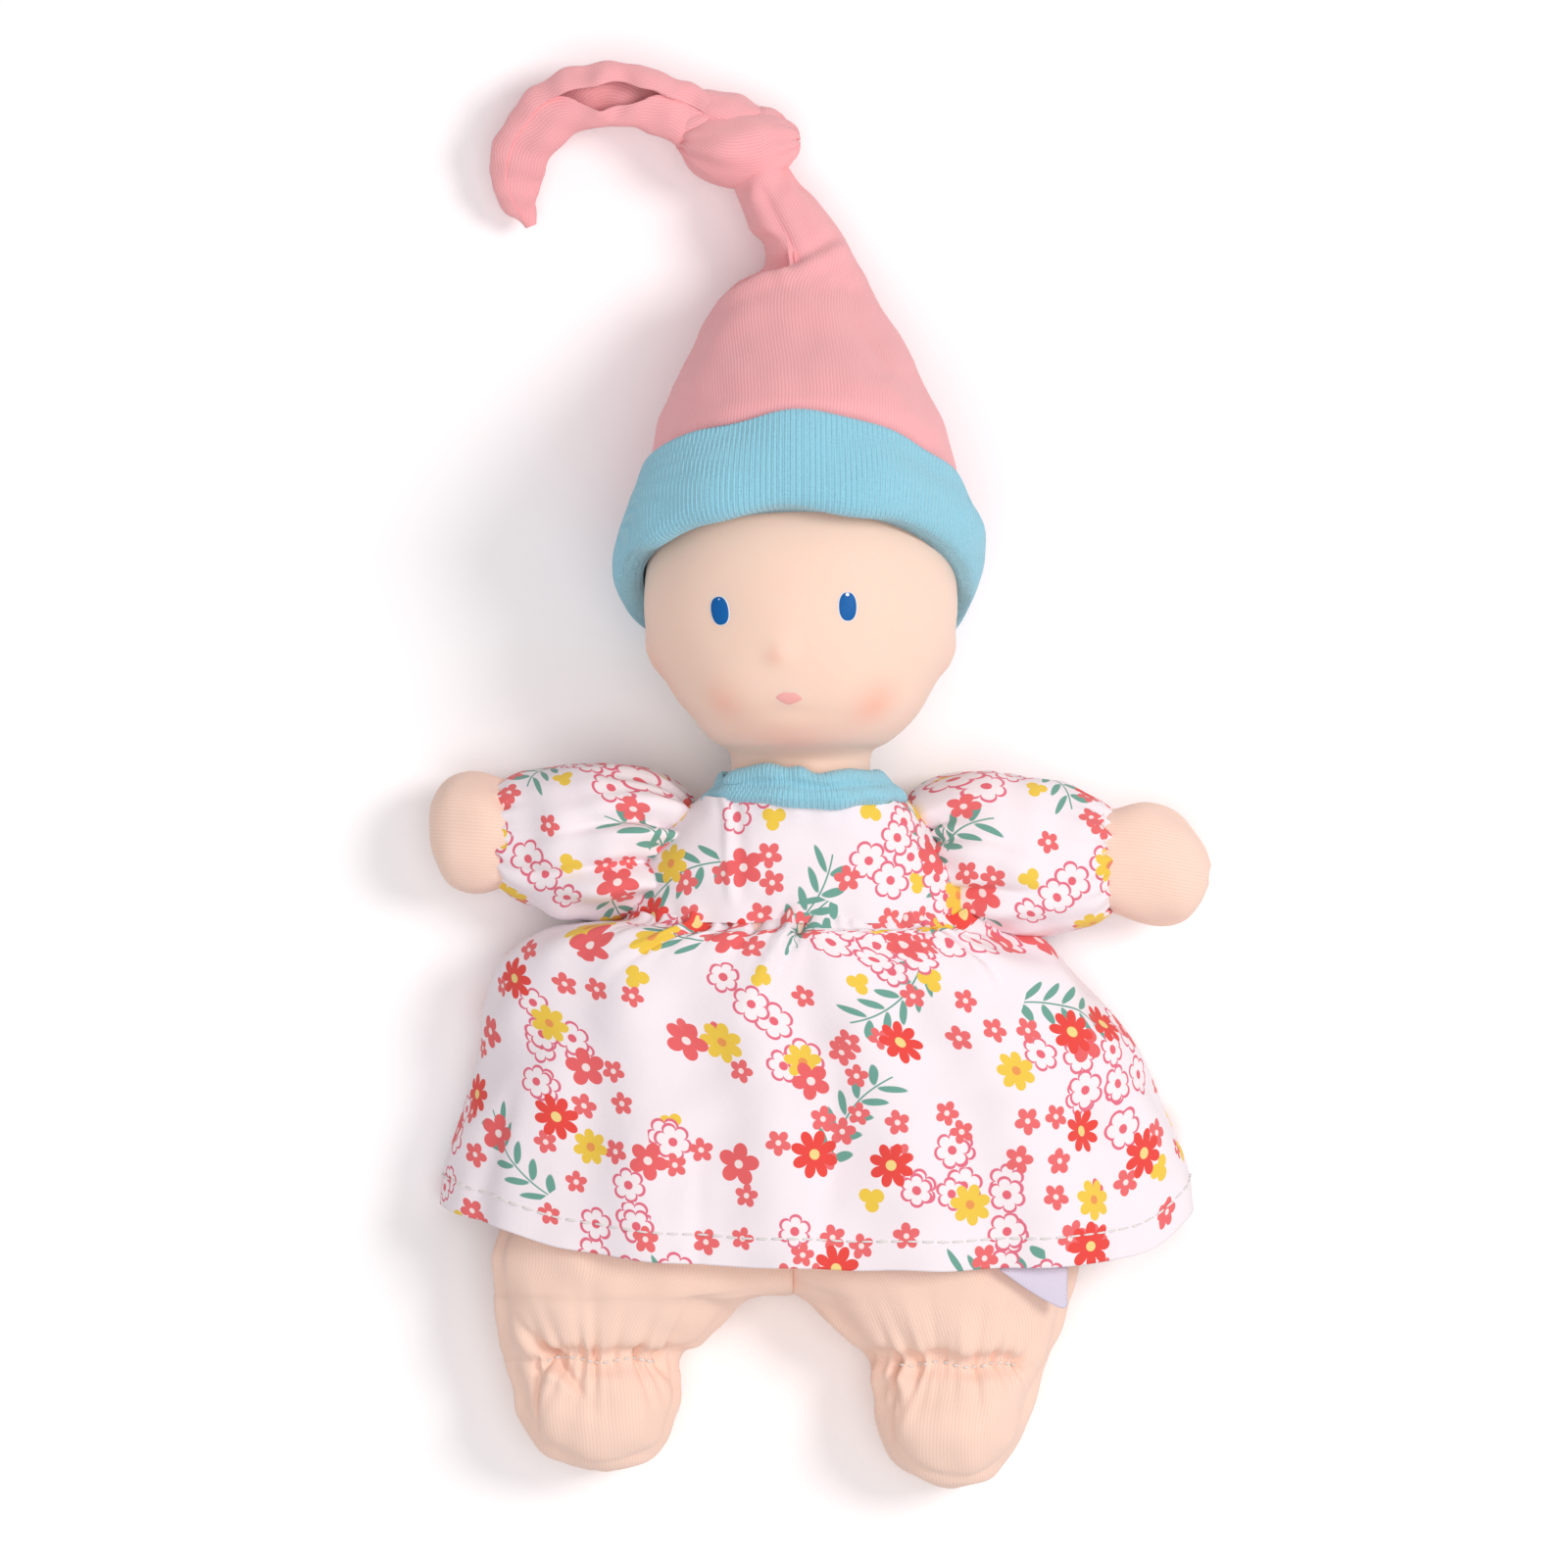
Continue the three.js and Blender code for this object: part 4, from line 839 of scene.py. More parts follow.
def bodiceBack(side, sign):
    stations = [dict(s, rest=bodiceShape["lift"][side]) for s in bodiceShape["back"]]
    grid = ovalRows(smoothRow(stations, 8), 60, 2.3, 3.2, (math.radians(-8), math.radians(-97)))
    grid[..., 0] *= sign
    grid[..., 2] += 0.08 * lumps(grid, 9, 4)
    return gridObject("bodice_back_" + side + "_cloth", grid, printedCotton, wrap=False)


front = bodiceFront()
thicken(front, bodiceShape["cloth"])
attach(front, "torso")
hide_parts("bodice_front")
for side, sign in (("right", -1), ("left", 1)):
    back = bodiceBack(side, sign)
    thicken(back, bodiceShape["cloth"])
    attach(back, "torso")
    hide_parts("bodice_back_" + side)

closureShape = dict(x=-3.9, y=5.4, wide=7.8, long=13.7, thick=0.5, heights=dict(loop=1.35, hook=2.25))
for seed, (kind, height) in enumerate(closureShape["heights"].items(), 1):
    across = closureShape["x"] + closureShape["wide"] * np.arange(24) / 23
    x, y = np.meshgrid(across, closureShape["y"] + closureShape["long"] * np.arange(40) / 39)
    grid = np.dstack([x, y, np.full_like(x, height)])
    grid[..., 2] += 0.06 * lumps(grid, 2.0, seed)
    strip = gridObject(kind + "_tape", grid, closureTape, wrap=False)
    thicken(strip, closureShape["thick"])
    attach(strip, "torso")
    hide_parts(kind + "_strip")
print("bodice made")

# the first row of stations goes up the outside, the second down the inside
collarShape = dict(
    ribs=118, ribDepth=0.16, outside=stationRow(
        "x y half low high", (0.6, 27.6, 20.9, 3.4, 40.6), (0.6, 28.9, 20.7, 4.4, 42.6),
        (0.6, 30.6, 19.3, 5.6, 43.0), (0.5, 31.9, 18.2, 6.3, 42.4), (0.3, 33.3, 17.6, 6.6, 43.0),
        (0.2, 34.6, 16.9, 7.0, 42.6), (0.2, 35.2, 16.1, 7.8, 41.7)),
    inside=stationRow(
        "x y half low high", (0.2, 35.2, 15.3, 8.6, 41.0), (0.2, 34.0, 14.9, 9.2, 40.4),
        (0.3, 31.0, 15.6, 8.8, 40.1), (0.5, 27.6, 18.5, 6.0, 39.2)))


def collarPiece():
    # a narrow rib band folded double, with a crease along its middle and a wavy top edge
    count = collarShape["ribs"] * 7
    grid = np.vstack([ovalRows(smoothRow(collarShape["outside"], 7), count, 2.1),
                      ovalRows(smoothRow(collarShape["inside"], 4), count, 2.1)])
    x, y = grid[..., 0], grid[..., 1]
    front = grid[..., 2] > 20
    wave = 0.5 * np.cos(x * 0.36 + 0.9) + 0.12 * np.cos(x * 0.8)
    y += (wave * ease((y - 30) / 5) + 0.5 * np.cos(x * 0.21 + 2.2)) * front
    y -= 1.1 * ease((np.abs(x) - 9) / 6) * ease((y - 30) / 5)  # the sides sit clear of the turning jaw
    rib = ridges(np.arange(count) * math.pi / 7, 1.3)[None, :]
    pleats = 0.28 * np.cos(x * 0.7 + 1.5 * np.sin(x * 0.3)) * ease((y - 31) / 3)
    grow = collarShape["ribDepth"] * (rib - 0.5) + 0.45 * lumps(grid, 7, 6) + pleats * front
    grid = grid + facing(grid) * grow[..., None]
    grid[..., 2] = np.maximum(grid[..., 2], 0.3)
    return gridObject("collar_rib", grid, turquoiseRib, loop=True)


collar = collarPiece()
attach(collar, "torso")
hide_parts("collar_band")

# folds: where round the sleeve each deep fold lies, how it leans, its depth and its reach
sleeveLooks = dict(
    left=dict(
        sign=1, seed=11, folds=((2.25, -0.35, 2.8, 0.5), (1.35, 0.25, 1.7, 0.4)), stations=stationRow(
            "x y half low high", (27.4, 18.0, 10.2, 3.8, 27.0), (30.4, 18.3, 13.0, 1.2, 29.6),
            (35.5, 18.8, 16.0, -0.5, 31.6), (43.0, 17.8, 16.6, -0.8, 31.8),
            (50.5, 17.0, 15.9, -0.6, 30.0), (56.5, 16.4, 14.6, -0.2, 27.6),
            (60.6, 16.2, 13.0, 1.2, 26.2), (62.6, 16.2, 11.4, 3.0, 25.0), (63.3, 16.2, 10.6, 4.0, 24.2))),
    right=dict(
        sign=-1, seed=13, folds=((1.75, 0.45, 3.8, 0.6), (1.1, 0.55, 3.2, 0.55), (0.55, 0.2, 1.6, 0.35)),
        stations=stationRow(
            "x y half low high", (-27.4, 18.0, 10.2, 3.8, 27.0), (-30.4, 18.5, 13.0, 1.2, 29.6),
            (-35.0, 19.7, 16.0, -0.5, 31.6), (-42.0, 20.2, 16.6, -0.8, 31.8),
            (-49.0, 20.4, 15.9, -0.6, 30.0), (-55.0, 20.9, 14.2, -0.2, 27.4),
            (-59.0, 21.3, 12.6, 1.6, 25.8), (-61.2, 21.4, 11.0, 3.4, 24.8),
            (-61.9, 21.4, 10.2, 4.2, 24.0))))


def sleevePiece(side, look):
    # puffed: gathered into the armhole and again at the elastic, with deep folds from the bodice
    row = smoothRow(look["stations"], 14)
    grid = ovalRows([dict(s, turn=math.pi / 2) for s in row], 260, 2.15)
    out = facing(grid)
    along = np.array([abs(s["x"]) for s in row])[:, None]
    share = (along - along.min()) / (along.max() - along.min())
    centre = np.array([((s["low"] + s["high"]) / 2, s["y"]) for s in row])
    angle = np.arctan2(grid[..., 2] - centre[:, 0:1], grid[..., 1] - centre[:, 1:2])
    rng = np.random.default_rng(look["seed"])
    grow = np.zeros(grid.shape[:2])

    def lineAt(at):
        return np.angle(np.exp(1j * (angle - at)))

    for _ in range(11):  # gathers at the armhole
        lean = rng.uniform(-0.5, 0.5)
        line = lineAt(rng.uniform(-math.pi, math.pi) + lean * share)
        wide = rng.uniform(0.06, 0.1) + 0.2 * share
        grow -= rng.uniform(0.8, 1.8) * bell(line, wide) * np.exp(-share / rng.uniform(0.18, 0.36))
    for _ in range(26):  # gathers at the elastic
        line = lineAt(rng.uniform(-math.pi, math.pi))
        wide = rng.uniform(0.045, 0.08) + 0.14 * (1 - share)
        grow -= rng.uniform(0.5, 1.1) * bell(line, wide) * np.exp(-(1 - share) / rng.uniform(0.06, 0.16))
    for at, lean, deep, long in look["folds"]:
        line = lineAt(at + lean * share)
        lip = 0.7 * bell(line - 0.2, 0.17) - bell(line, 0.1) + 0.25 * bell(line + 0.22, 0.15)
        grow += deep * lip * bell(share, long)
    grow += 0.6 * lumps(grid, 12, look["seed"]) * np.sin(share * math.pi)
    grow = grow * (0.3 + 0.7 * ease((grid[..., 2] - 6) / 8))
    grid = grid + out * grow[..., None]
    frill = 0.45 * np.cos(angle * 17 + np.sin(angle * 3)) * ease((share - 0.93) / 0.07)
    grid[..., 0] += look["sign"] * frill
    grid[..., 2] = np.maximum(grid[..., 2], 0.35 + 0.1 * np.cos(angle * 9))
    # the armhole follows the slanted side of the bodice up to the collar
    grid[..., 0] -= look["sign"] * 0.68 * np.maximum(grid[..., 1] - 19.5, 0) * (1 - ease(share / 0.32))
    piece = gridObject(side + "_sleeve_cloth", grid, printedCotton)
    thicken(piece, 0.5)
    return piece


for side, look in sleeveLooks.items():
    sleeve = sleevePiece(side, look)
    start = (look["sign"] * 0.0285, 0.0191, 0.0145)
    end = (look["sign"] * 0.0440, 0.0185, 0.0145)
    side + "_arm"
    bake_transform(sleeve)
    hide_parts(side + "_sleeve")

# the elastic inside the cuff, crimped by the stitches that hold it
elasticShape = dict(wide=2.6, halfY=10.85, halfZ=10.55, z=14.3, thick=0.6,
                    places=dict(left=(60.6, 16.7), right=(-57.6, 21.4)))
for side, (x, y) in elasticShape["places"].items():
    ring, across = np.meshgrid(2 * math.pi * np.arange(120) / 120, np.arange(8))
    crimp = 0.12 * np.cos(ring * 24 + across)
    grid = np.dstack([x + elasticShape["wide"] * (across / 7 - 0.5),
                      y + np.cos(ring) * (elasticShape["halfY"] + crimp),
                      elasticShape["z"] + np.sin(ring) * (elasticShape["halfZ"] + crimp)])
    elastic = gridObject(side + "_elastic", grid, elasticTape)
    thicken(elastic, elasticShape["thick"])
    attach(elastic, side + "_arm")
    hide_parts(side + "_sleeve_elastic")
print("sleeves made")

# fall runs from 0 at the waist to 1 at the hem; places across are shares of half the width
skirtShape = dict(
    cloth=0.5, depth=2.4, count=5.5, lean=0.1, growth=3, stations=stationRow(
        "x y half high widest fall", (-0.3, 5.2, 34.8, 37.8, 18.0, 0),
        (-0.6, 3.2, 37.0, 39.4, 17.6, 0.01), (-4.6, 0.9, 45.4, 40.0, 16.0, 0.05),
        (-4.4, -4.6, 55.7, 40.2, 13.7, 0.13), (-1.9, -13.8, 61.9, 39.8, 11.4, 0.26),
        (1.6, -26.8, 67.2, 39.2, 9.0, 0.44), (2.7, -42.2, 71.9, 38.7, 8.0, 0.66),
        (3.2, -56.2, 76.1, 38.2, 7.0, 0.86), (3.3, -66.2, 77.3, 37.8, 7.0, 1), low=-1.2),
    # where each tuck starts in the waist seam, how it leans, its depth and its reach
    tucks=((-0.06, -0.5, 2.8, 0.17), (0.62, 0.1, 1.8, 0.16), (0.93, -0.12, 2.3, 0.22),
           (-0.62, -0.5, 1.4, 0.12)),
    # creases of wear: place, lean, depth, width and the fall where each starts
    creases=((-0.83, -0.02, 1.2, 0.03, 0.45), (0.82, 0.03, 1.0, 0.035, 0.4), (-0.3, 0.03, 0.5, 0.02, 0.6),
             (0.15, -0.1, 0.5, 0.025, 0.3)),
    hemStitch=dict(up=6.0, pitch=3.1, length=2.3, lift=0.22, thread=0.45))


def skirtPlaces():
    # gathered along the waist, then spread flat with the doll; its sides lie on the floor
    row, count = smoothRow(skirtShape["stations"], 14), 420
    angle = 2 * math.pi * np.arange(count) / count - math.pi / 2
    half, x0, y0, high, widest, falls = (
        np.array([s[key] for s in row])[:, None] for key in ("half", "x", "y", "high", "widest", "fall"))
    p = np.where(np.sin(angle) < 0, 5.0, 2.4)
    across, up = powered(np.cos(angle), p)[None, :], powered(np.sin(angle), p)[None, :]
    grid = np.zeros((len(row), count, 3))
    grid[..., 0] = x0 + across * half
    grid[..., 1] = y0 + 12 * falls * np.abs(across) ** np.where(across > 0, 10, 2.4)
    grid[..., 2] = widest + up * np.where(up > 0, high - widest, widest - row[0]["low"])
    out = facing(grid)
    x, z = grid[..., 0].copy(), grid[..., 2].copy()
    share = x / half
    top = ease((z - 6) / 10)
    rng = np.random.default_rng(4)
    grow = np.zeros_like(x)
    # the main folds widen and deepen towards the hem
    phase = math.pi * skirtShape["count"] * (across - skirtShape["lean"] * falls)
    rise = skirtShape["depth"] * (0.5 - 0.5 * np.cos(phase)) * np.sqrt(np.maximum(up, 0))
    rise = rise * np.minimum(skirtShape["growth"] * falls, 1)
    # small gathers at the waist run out down the cloth
    for _ in range(34):
        at, wide = rng.uniform(-1.0, 1.0), rng.uniform(0.014, 0.026)
        long, deep, lean = rng.uniform(0.03, 0.1), rng.uniform(0.4, 1.0), rng.uniform(-0.12, 0.12)
        grow -= deep * bell(share - at - lean * falls, wide + 0.12 * falls) * np.exp(-falls / long)
    for at, lean, deep, long in skirtShape["tucks"]:
        line = share - at - lean * falls
        grow += deep * (bell(line, 0.03) - 0.9 * bell(line - 0.055, 0.022)) * bell(falls, long)
    for at, lean, deep, wide, start in skirtShape["creases"]:
        line = share - at - lean * falls
        crease = 0.5 * bell(line + wide * 2, wide * 1.6) - bell(line, wide)
        grow += deep * crease * ease((falls - start) / 0.25)
    grow += 0.55 * lumps(grid, 15, 9) * (0.35 + 0.65 * top)
    grow += 1.8 * bell(share + 0.9, 0.3) * bell(falls - 0.06, 0.08)
    grid = grid + out * (grow * top)[..., None]
    grid[..., 2] += rise
    # the sides lie in low waves on the floor
    low = 1 - ease((grid[..., 2] - 4) / 6)
    grid[..., 2] += low * 0.4 * np.abs(np.cos(grid[..., 1] * 0.14)) * (np.sin(angle)[None, :] > -0.4)
    hem = ease((falls - 0.93) / 0.07)
    grid[..., 1] += hem * (0.35 * np.cos(x * 0.09 + 1) + 0.15 * np.cos(x * 0.31))
    grid[..., 2] = np.maximum(grid[..., 2], 0.3 + 0.15 * (np.sin(angle)[None, :] > -0.6))
    return grid


def hemStitches(grid, look):
    # the turned hem's running stitch, above its edge all round the skirt
    path, outward = [], []
    normal = facing(grid)
    for k in range(grid.shape[1]):
        back = grid[::-1, k]
        along = lengthsAlong(back)
        at = np.array([np.interp(look["up"], along, back[:, j]) for j in range(3)])
        out = normal[len(grid) - 1 - int(np.searchsorted(along, look["up"])), k]
        if at[2] + out[2] * 0.05 > 3:  # not where the skirt lies on the floor
            path.append(at + out * 0.05)
            outward.append(out)
    return stitches("hem_stitches", np.array(path), np.array(outward), look, whiteThread)


skirtGrid = skirtPlaces()
skirt = gridObject("skirt_cloth", skirtGrid, printedCotton)
thicken(skirt, skirtShape["cloth"])
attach(skirt, "torso")
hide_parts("skirt")
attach(hemStitches(skirtGrid, skirtShape["hemStitch"]), "torso")
print("skirt made")


cuffLean = 0.46  # how far the cuff leans back for each millimetre of height
# a rib band folded double: a fat round fold below, the turned-up edge above; the first row of
# stations goes up the outside, the second down the inside, both leaning with the head
cuffShape = dict(
    ribs=208, ribDepth=0.2, outside=stationRow(
        "y half low high", (69.6, 34.6, -0.2, 68.6), (69.7, 36.2, -0.4, 70.2),
        (71.0, 37.2, -0.4, 71.3), (73.6, 37.6, -0.4, 71.8), (77.8, 37.4, -0.4, 71.6),
        (82.8, 36.5, -0.4, 70.7), (86.8, 35.3, -0.4, 69.4), (89.6, 34.4, -0.4, 68.4),
        (90.3, 33.3, 0.8, 67.3), x=0, lean=cuffLean),
    inside=stationRow(
        "y half low high", (89.9, 31.9, 2.2, 66.0), (84.0, 32.1, 3.6, 66.5), (77.0, 32.1, 5.0, 66.6),
        (71.0, 32.0, 5.2, 66.6), x=0, lean=cuffLean))


def cuffPiece():
    count = cuffShape["ribs"] * 7
    outside, inside = (smoothRow(cuffShape[key], steps) for key, steps in (("outside", 8), ("inside", 5)))
    grid = np.vstack([ovalRows(outside, count, 2.1), ovalRows(inside, count, 2.1)])
    out = facing(grid)
    x, y, z = (grid[..., k].copy() for k in range(3))
    outer = (np.arange(len(grid)) < len(outside))[:, None]
    rib = ridges(np.arange(count) * math.pi / 7, 1.2)[None, :]
    grow = cuffShape["ribDepth"] * (rib - 0.5) * (0.4 + 0.6 * outer)
    grow += outer * (0.6 * lumps(grid, 20, 12) + 0.25 * np.cos(np.arctan2(z - 35, x) * 5 + 0.6))
    grid = grid + out * grow[..., None]
    # the turned-up edge runs in slow waves; the fold sits a little higher on the right
    up = 0.3 * np.cos(x * 0.13 + 0.9) + 0.12 * np.cos(x * 0.31)
    up *= ease((z - 10) / 30) * ease((y - 84) / 12)
    up += (2.2 * ease(-x / 36) + 1.4 * ease(x / 36)) * (1 - ease((y - 72) / 16))
    up += 1.2 * ease((z - 45) / 25) * (1 - ease((y - 84) / 20))
    # on the left side of the head the fold is narrower and the edge hangs lower
    height = y - cuffLean * (z - 35)
    up -= 2.6 * ease((x - 8) / 24) * ease((height - 78) / 10)
    grid[..., 1] += up
    grid[..., 0] -= 1.8 * ease((x - 10) / 24) * (1 - ease((height - 70) / 9))
    grid[..., 2] = np.maximum(grid[..., 2], 0.35)
    return gridObject("hat_cuff_rib", grid, turquoiseRib, loop=True)


cuff = cuffPiece()
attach(cuff, "hat")
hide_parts("hat_cuff")
print("cuff made")

crownShape = dict(
    cloth=1.1, stations=stationRow(
        "x y half low high lean", (0, 81.6, 30.9, 3.9, 65.4, 0.45), (0, 86.6, 31.2, 3.8, 65.6, 0.45),
        (0, 91.6, 31.9, 2.9, 66.0, 0.44), (0.2, 96.4, 30.9, 2.6, 65.4, 0.38),
        (0.3, 102.0, 29.2, 2.4, 63.0, 0.28), (0.1, 107.0, 27.6, 2.2, 59.8, 0.21),
        (-0.1, 112.8, 25.2, 2.0, 54.6, 0.15), (-0.9, 120.4, 21.8, 1.8, 46.4, 0.1),
        (-1.4, 127.6, 18.1, 1.7, 39.2, 0.06), (-0.8, 133.0, 14.5, 1.6, 33.4, 0.02),
        (1.2, 137.6, 10.6, 1.8, 29.0, 0), (-0.4, 143.6, 9.6, 2.2, 25.4, 0),
        (-4.0, 150.4, 8.1, 3.4, 22.4, 0), (-7.0, 154.8, 6.6, 4.8, 20.6, 0),
        (-8.6, 158.6, 5.6, 6.0, 19.4, 0)),
    # ridges in the jersey, from one place to another: the flap left of the neck, the fold that
    # crosses it and the pulls towards the knot; tuck is how deep the upper side goes in
    folds=stationRow(
        "x0 y0 x1 y1 wide height tuck", (-15.0, 132.6, -5.0, 137.4, 1.8, 1.6, 2.4),
        (-4.0, 136.0, 6.6, 142.2, 1.8, 1.0, 1.1), (-8.6, 152.4, -2.2, 139.4, 1.7, 0.8, 0.7),
        (8.5, 134.0, -0.5, 151.0, 2.2, 0.5, 0.4), (-24.0, 114.0, -13.0, 130.0, 3.0, 0.5, 0.4),
        (18.5, 116.0, 9.5, 134.0, 3.0, 0.4, 0.5)))


def crownPiece():
    # a soft cone of jersey: full over the cuff, tucked under a flap, drawn in at the knot
    grid = ovalRows(smoothRow(crownShape["stations"], 14), 300, 2.1)
    out = facing(grid)
    x, y, z = (grid[..., k].copy() for k in range(3))
    # the jersey swells over the cuff and hangs in shallow hollows
    grow = 0.6 * lumps(grid, 26, 17) * ease((y - 98) / 8) * (1 - ease((y - 136) / 14))
    grow += 0.15 * lumps(grid, 9, 23) * (1 - ease((y - 140) / 8))
    for f in crownShape["folds"]:
        across, up = f["x1"] - f["x0"], f["y1"] - f["y0"]
        long = math.hypot(across, up)
        along = ((x - f["x0"]) * across + (y - f["y0"]) * up) / long
        side = ((y - f["y0"]) * across - (x - f["x0"]) * up) / long
        ridge = f["height"] * bell(side + f["wide"], f["wide"])
        ridge -= f["tuck"] * bell(side - f["wide"] * 0.55, f["wide"] * 0.7)
        grow += ease((z - 10) / 16) * ease((along + 3) / 3) * ease((long + 3 - along) / 3) * ridge
    grow += 0.3 * np.cos(np.arctan2(z - 13, x + 4) * 7 + y * 0.15) * ease((y - 148) / 6)
    grid = grid + out * grow[..., None]
    # the outline steps in where the flap turns under the neck
    step = ease((x + 16) / 3) * (1 - ease((x + 5) / 3))
    grid[..., 0] += 2.2 * step * ease((y - 134.5) / 2.5) * (1 - ease((y - 142.5) / 3))
    # the folds near the neck are rounded off
    near = (bell(grid[..., 1] - 138, 7) * 0.9)[..., None]
    for _ in range(9):
        around = (np.roll(grid, 1, 1) + np.roll(grid, -1, 1)) / 2
        around[1:-1] = (around[1:-1] + (grid[2:] + grid[:-2]) / 2) / 2
        grid = grid + near * 0.6 * (around - grid)
    grid[..., 2] = np.maximum(grid[..., 2], 0.4)
    return gridObject("hat_crown_jersey", grid, pinkJersey)


crown = crownPiece()
thicken(crown, crownShape["cloth"])
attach(crown, "hat")
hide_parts("hat_crown")

# an overhand knot in the jersey: the near turn lies over two smaller ones and the tail's root
knotTurns = stationRow(
    "middle long wide deep turn bend seed", ((-12.4, 161.8, 13.2), 12.0, 7.6, 9.4, 0.02, 1.6, 3),
    ((-15.2, 168.8, 10.8), 10.0, 5.0, 7.6, -0.3, -0.6, 5),
    ((-20.4, 166.0, 10.6), 5.6, 6.2, 7.4, 0.5, 0.0, 8),
    ((-8.2, 165.2, 10.4), 5.4, 5.6, 7.6, 0.2, 0.0, 9))


def knotTurn(look):
    # one turn of the tube in the knot: a plump oval, turned and bent, with pulls along it
    rows, count = 46, 84
    tip = (math.pi * (np.arange(rows) + 0.5) / rows)[:, None]
    turn = (2 * math.pi * np.arange(count) / count)[None, :]
    full = np.sin(tip) ** 0.8
    grid = np.dstack([-np.cos(tip) * look["long"] + 0 * turn, full * np.cos(turn) * look["wide"],
                      full * np.sin(turn) * look["deep"]])
    share = grid[..., 0] / look["long"]
    pulls = np.cos(turn * 9 + look["seed"]) * np.abs(share) ** 1.5
    grid = grid + facing(grid) * (0.3 * lumps(grid, 7, look["seed"]) + 0.4 * pulls)[..., None]
    grid[..., 1] += look["bend"] * share ** 2
    c, s = math.cos(look["turn"]), math.sin(look["turn"])
    x, y, z = (grid[..., k] for k in range(3))
    turned = np.stack([x * c - y * s, x * s + y * c, z], 2) + np.array(look["middle"])
    turned[..., 2] = np.maximum(turned[..., 2], 0.5)
    return turned


tailShape = dict(cloth=1.1, stations=stationRow(
    "x y z wide thick open", (-17.0, 165.2, 13.6, 10.5, 6.6, 0.0),
    (-23.4, 168.8, 14.6, 12.4, 6.2, 0.1), (-31.4, 172.2, 15.2, 12.8, 6.2, 0.55),
    (-40.6, 173.3, 15.4, 13.2, 6.2, 0.85), (-49.8, 170.4, 14.4, 13.0, 6.0, 0.3),
    (-56.3, 163.6, 12.2, 12.2, 5.8, 0.05), (-58.4, 157.4, 9.8, 11.6, 5.4, 0.0),
    (-57.8, 152.6, 8.0, 8.8, 5.0, 0.0), (-56.7, 149.4, 6.8, 5.2, 4.4, 0.0),
    (-55.6, 146.8, 6.2, 2.0, 3.4, 0.0)))


def tailPiece():
    # the end of the tube beyond the knot: flattened, arched clear of the floor and rolled over on
    # itself, so that its raw edge stands open along the top
    row = smoothRow(tailShape["stations"], 12)
    route = np.array([(s["x"], s["y"], s["z"]) for s in row])
    ways = np.gradient(route, axis=0)
    ways /= np.linalg.norm(ways, axis=1, keepdims=True)
    t = np.linspace(0, 1, 120)
    grid = np.zeros((len(route), len(t), 3))
    first, last = ease((0.12 - t) / 0.12), ease((t - 0.86) / 0.14)
    # the section goes round from one raw edge to the other; where it is open the edges stand apart
    # on top, elsewhere the second one laps over the first
    for i, s in enumerate(row):
        up = np.array([0.0, 0.0, 1.0]) - ways[i] * ways[i][2]
        up /= np.linalg.norm(up)
        tucked = 1 - 0.3 * (1 - s["open"]) * (1 - t) ** 9
        turn = np.radians(150 - 108 * s["open"] + (-405 + 102 * s["open"]) * t)
        rim = 1.1 * math.cos(i * 0.3) + 0.7 * math.cos(i * 0.66 + 1)
        across = powered(np.cos(turn), 2.5) * s["wide"] / 2 * tucked
        across += s["open"] * rim * (0.5 * last + 0.4 * first)
        lift = powered(np.sin(turn), 2.3) * s["thick"] / 2 * tucked
        lift += s["open"] * ((1.3 + rim) * last + (0.2 + 0.5 * rim) * first)
        grid[i] = route[i] + np.outer(across, np.cross(up, ways[i])) + np.outer(lift, up)
    away = facing(grid, wrap=False, tube=True)
    wrinkle = 0.45 * np.cos(grid[..., 0] * 0.7 + grid[..., 1] * 0.3) * ease((t - 0.7) / 0.3)[None, :]
    wrinkle *= bell(np.arange(len(row))[:, None] - 30, 22)
    grid = grid + away * (0.35 * lumps(grid, 6, 41) + wrinkle)[..., None]
    grid[..., 2] = np.maximum(grid[..., 2], 0.5)
    return gridObject("hat_tail_jersey", grid, pinkJersey, wrap=False, tube=True)


knotted = joined("hat_knot_jersey", [knotTurn(look) for look in knotTurns], pinkJersey, spread=True)
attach(knotted, "hat")
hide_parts("hat_knot")
tail = tailPiece()
thicken(tail, tailShape["cloth"])
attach(tail, "hat")
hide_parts("hat_tail")
print("hat made")


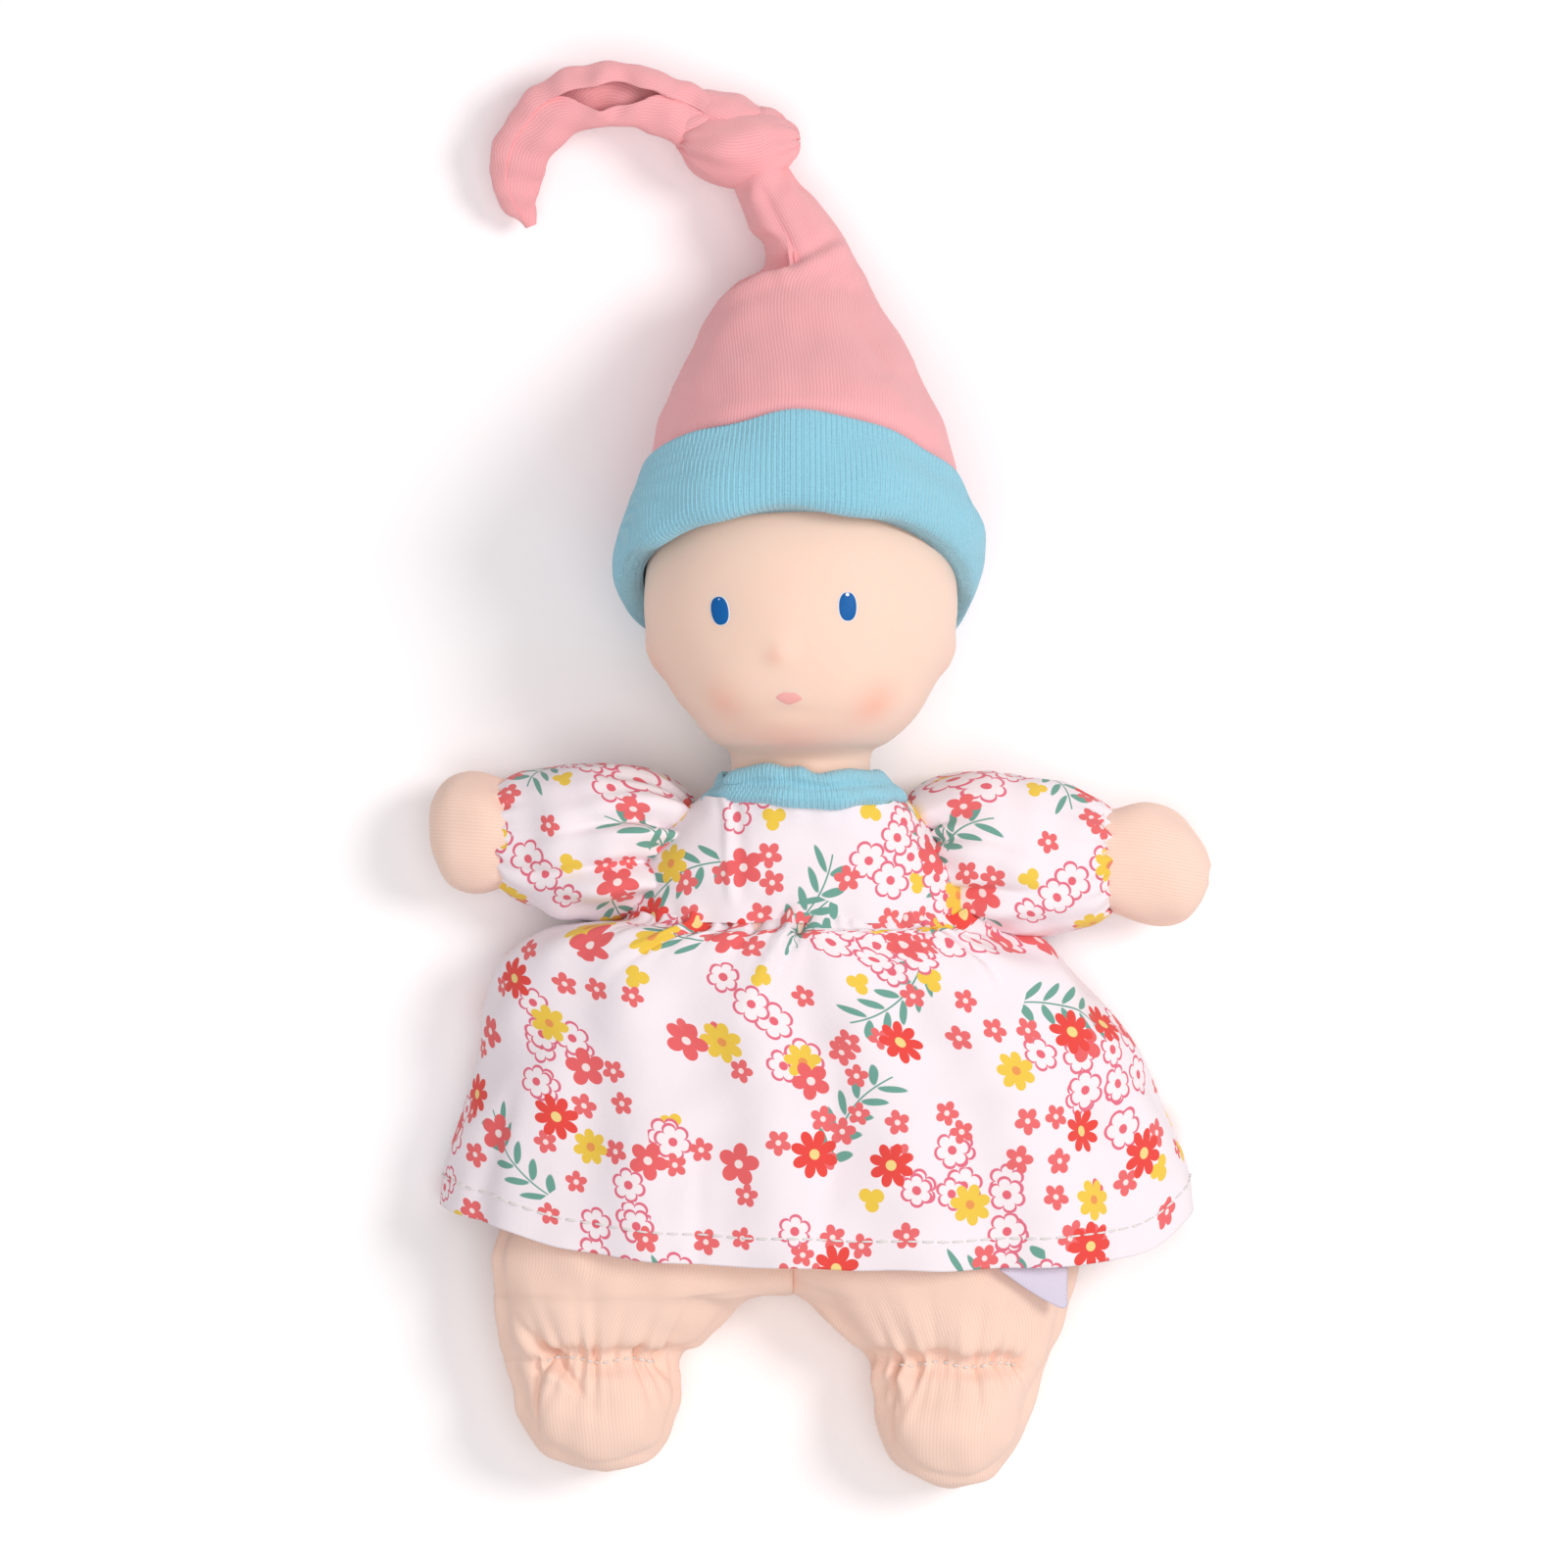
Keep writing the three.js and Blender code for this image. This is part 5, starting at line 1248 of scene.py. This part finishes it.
def floorPiece():
    material, tree = newLook("floor_look", 0.8, 0.0, 0.0)
    # the paper is exposed a little brighter for the camera than for the doll
    seen = Amount(newNode(tree, "LightPath"), "Is Camera Ray")
    colour = mixColour(seen, (0.9, 0.89, 0.89, 1), (1.12, 1.09, 1.1, 1))
    finishLook(material, colour, cloudy(bodyPlace(tree), 6.0), 0.02)
    half = 3.0  # metres
    mesh = bpy.data.meshes.new("floor")
    corners = [(-half, -half, 0), (half, -half, 0), (half, half, 0), (-half, half, 0)]
    mesh.from_pydata(corners, [], [(0, 1, 2, 3)])
    mesh.materials.append(material)
    plane = bpy.data.objects.new("floor", mesh)
    bpy.context.scene.collection.objects.link(plane)
    return plane


floorPiece()

# places and sizes in metres
studio = dict(
    lamps=dict(
        key_light=dict(size=0.5, power=7.4, colour=(1.0, 0.985, 0.97), place=(0.85, 0.28, 1.1)),
        top_light=dict(size=1.2, power=7.6, colour=(1.0, 0.99, 0.985), place=(0.0, -0.25, 1.6))),
    aim=(0, 0.03, 0),
    sky=(0.98, 0.985, 1.0, 1), skyStrength=0.48, camera=(-0.0034, 0.032, 2.02), lens=225)

for name, look in studio["lamps"].items():
    data = bpy.data.lights.new(name, "AREA")
    data.shape = "DISK"
    data.size, data.energy, data.color = look["size"], look["power"], look["colour"]
    lamp = bpy.data.objects.new(name, data)
    lamp.location = look["place"]
    towards = Vector(studio["aim"]) - Vector(look["place"])
    lamp.rotation_euler = towards.to_track_quat("-Z", "Y").to_euler()
    bpy.context.scene.collection.objects.link(lamp)
world = bpy.data.worlds.new("studio")
bpy.context.scene.world = world
world.use_nodes = True
sky = world.node_tree.nodes["Background"]
sky.inputs["Color"].default_value = studio["sky"]
sky.inputs["Strength"].default_value = studio["skyStrength"]

cameraData = bpy.data.cameras.new("camera")
cameraData.sensor_width = 36
cameraData.lens = studio["lens"]
cameraData.clip_start = 0.1
cameraData.clip_end = 20
camera = bpy.data.objects.new("camera", cameraData)
camera.location = studio["camera"]
bpy.context.scene.collection.objects.link(camera)
bpy.context.scene.camera = camera
bpy.context.scene.view_settings.view_transform = "Standard"
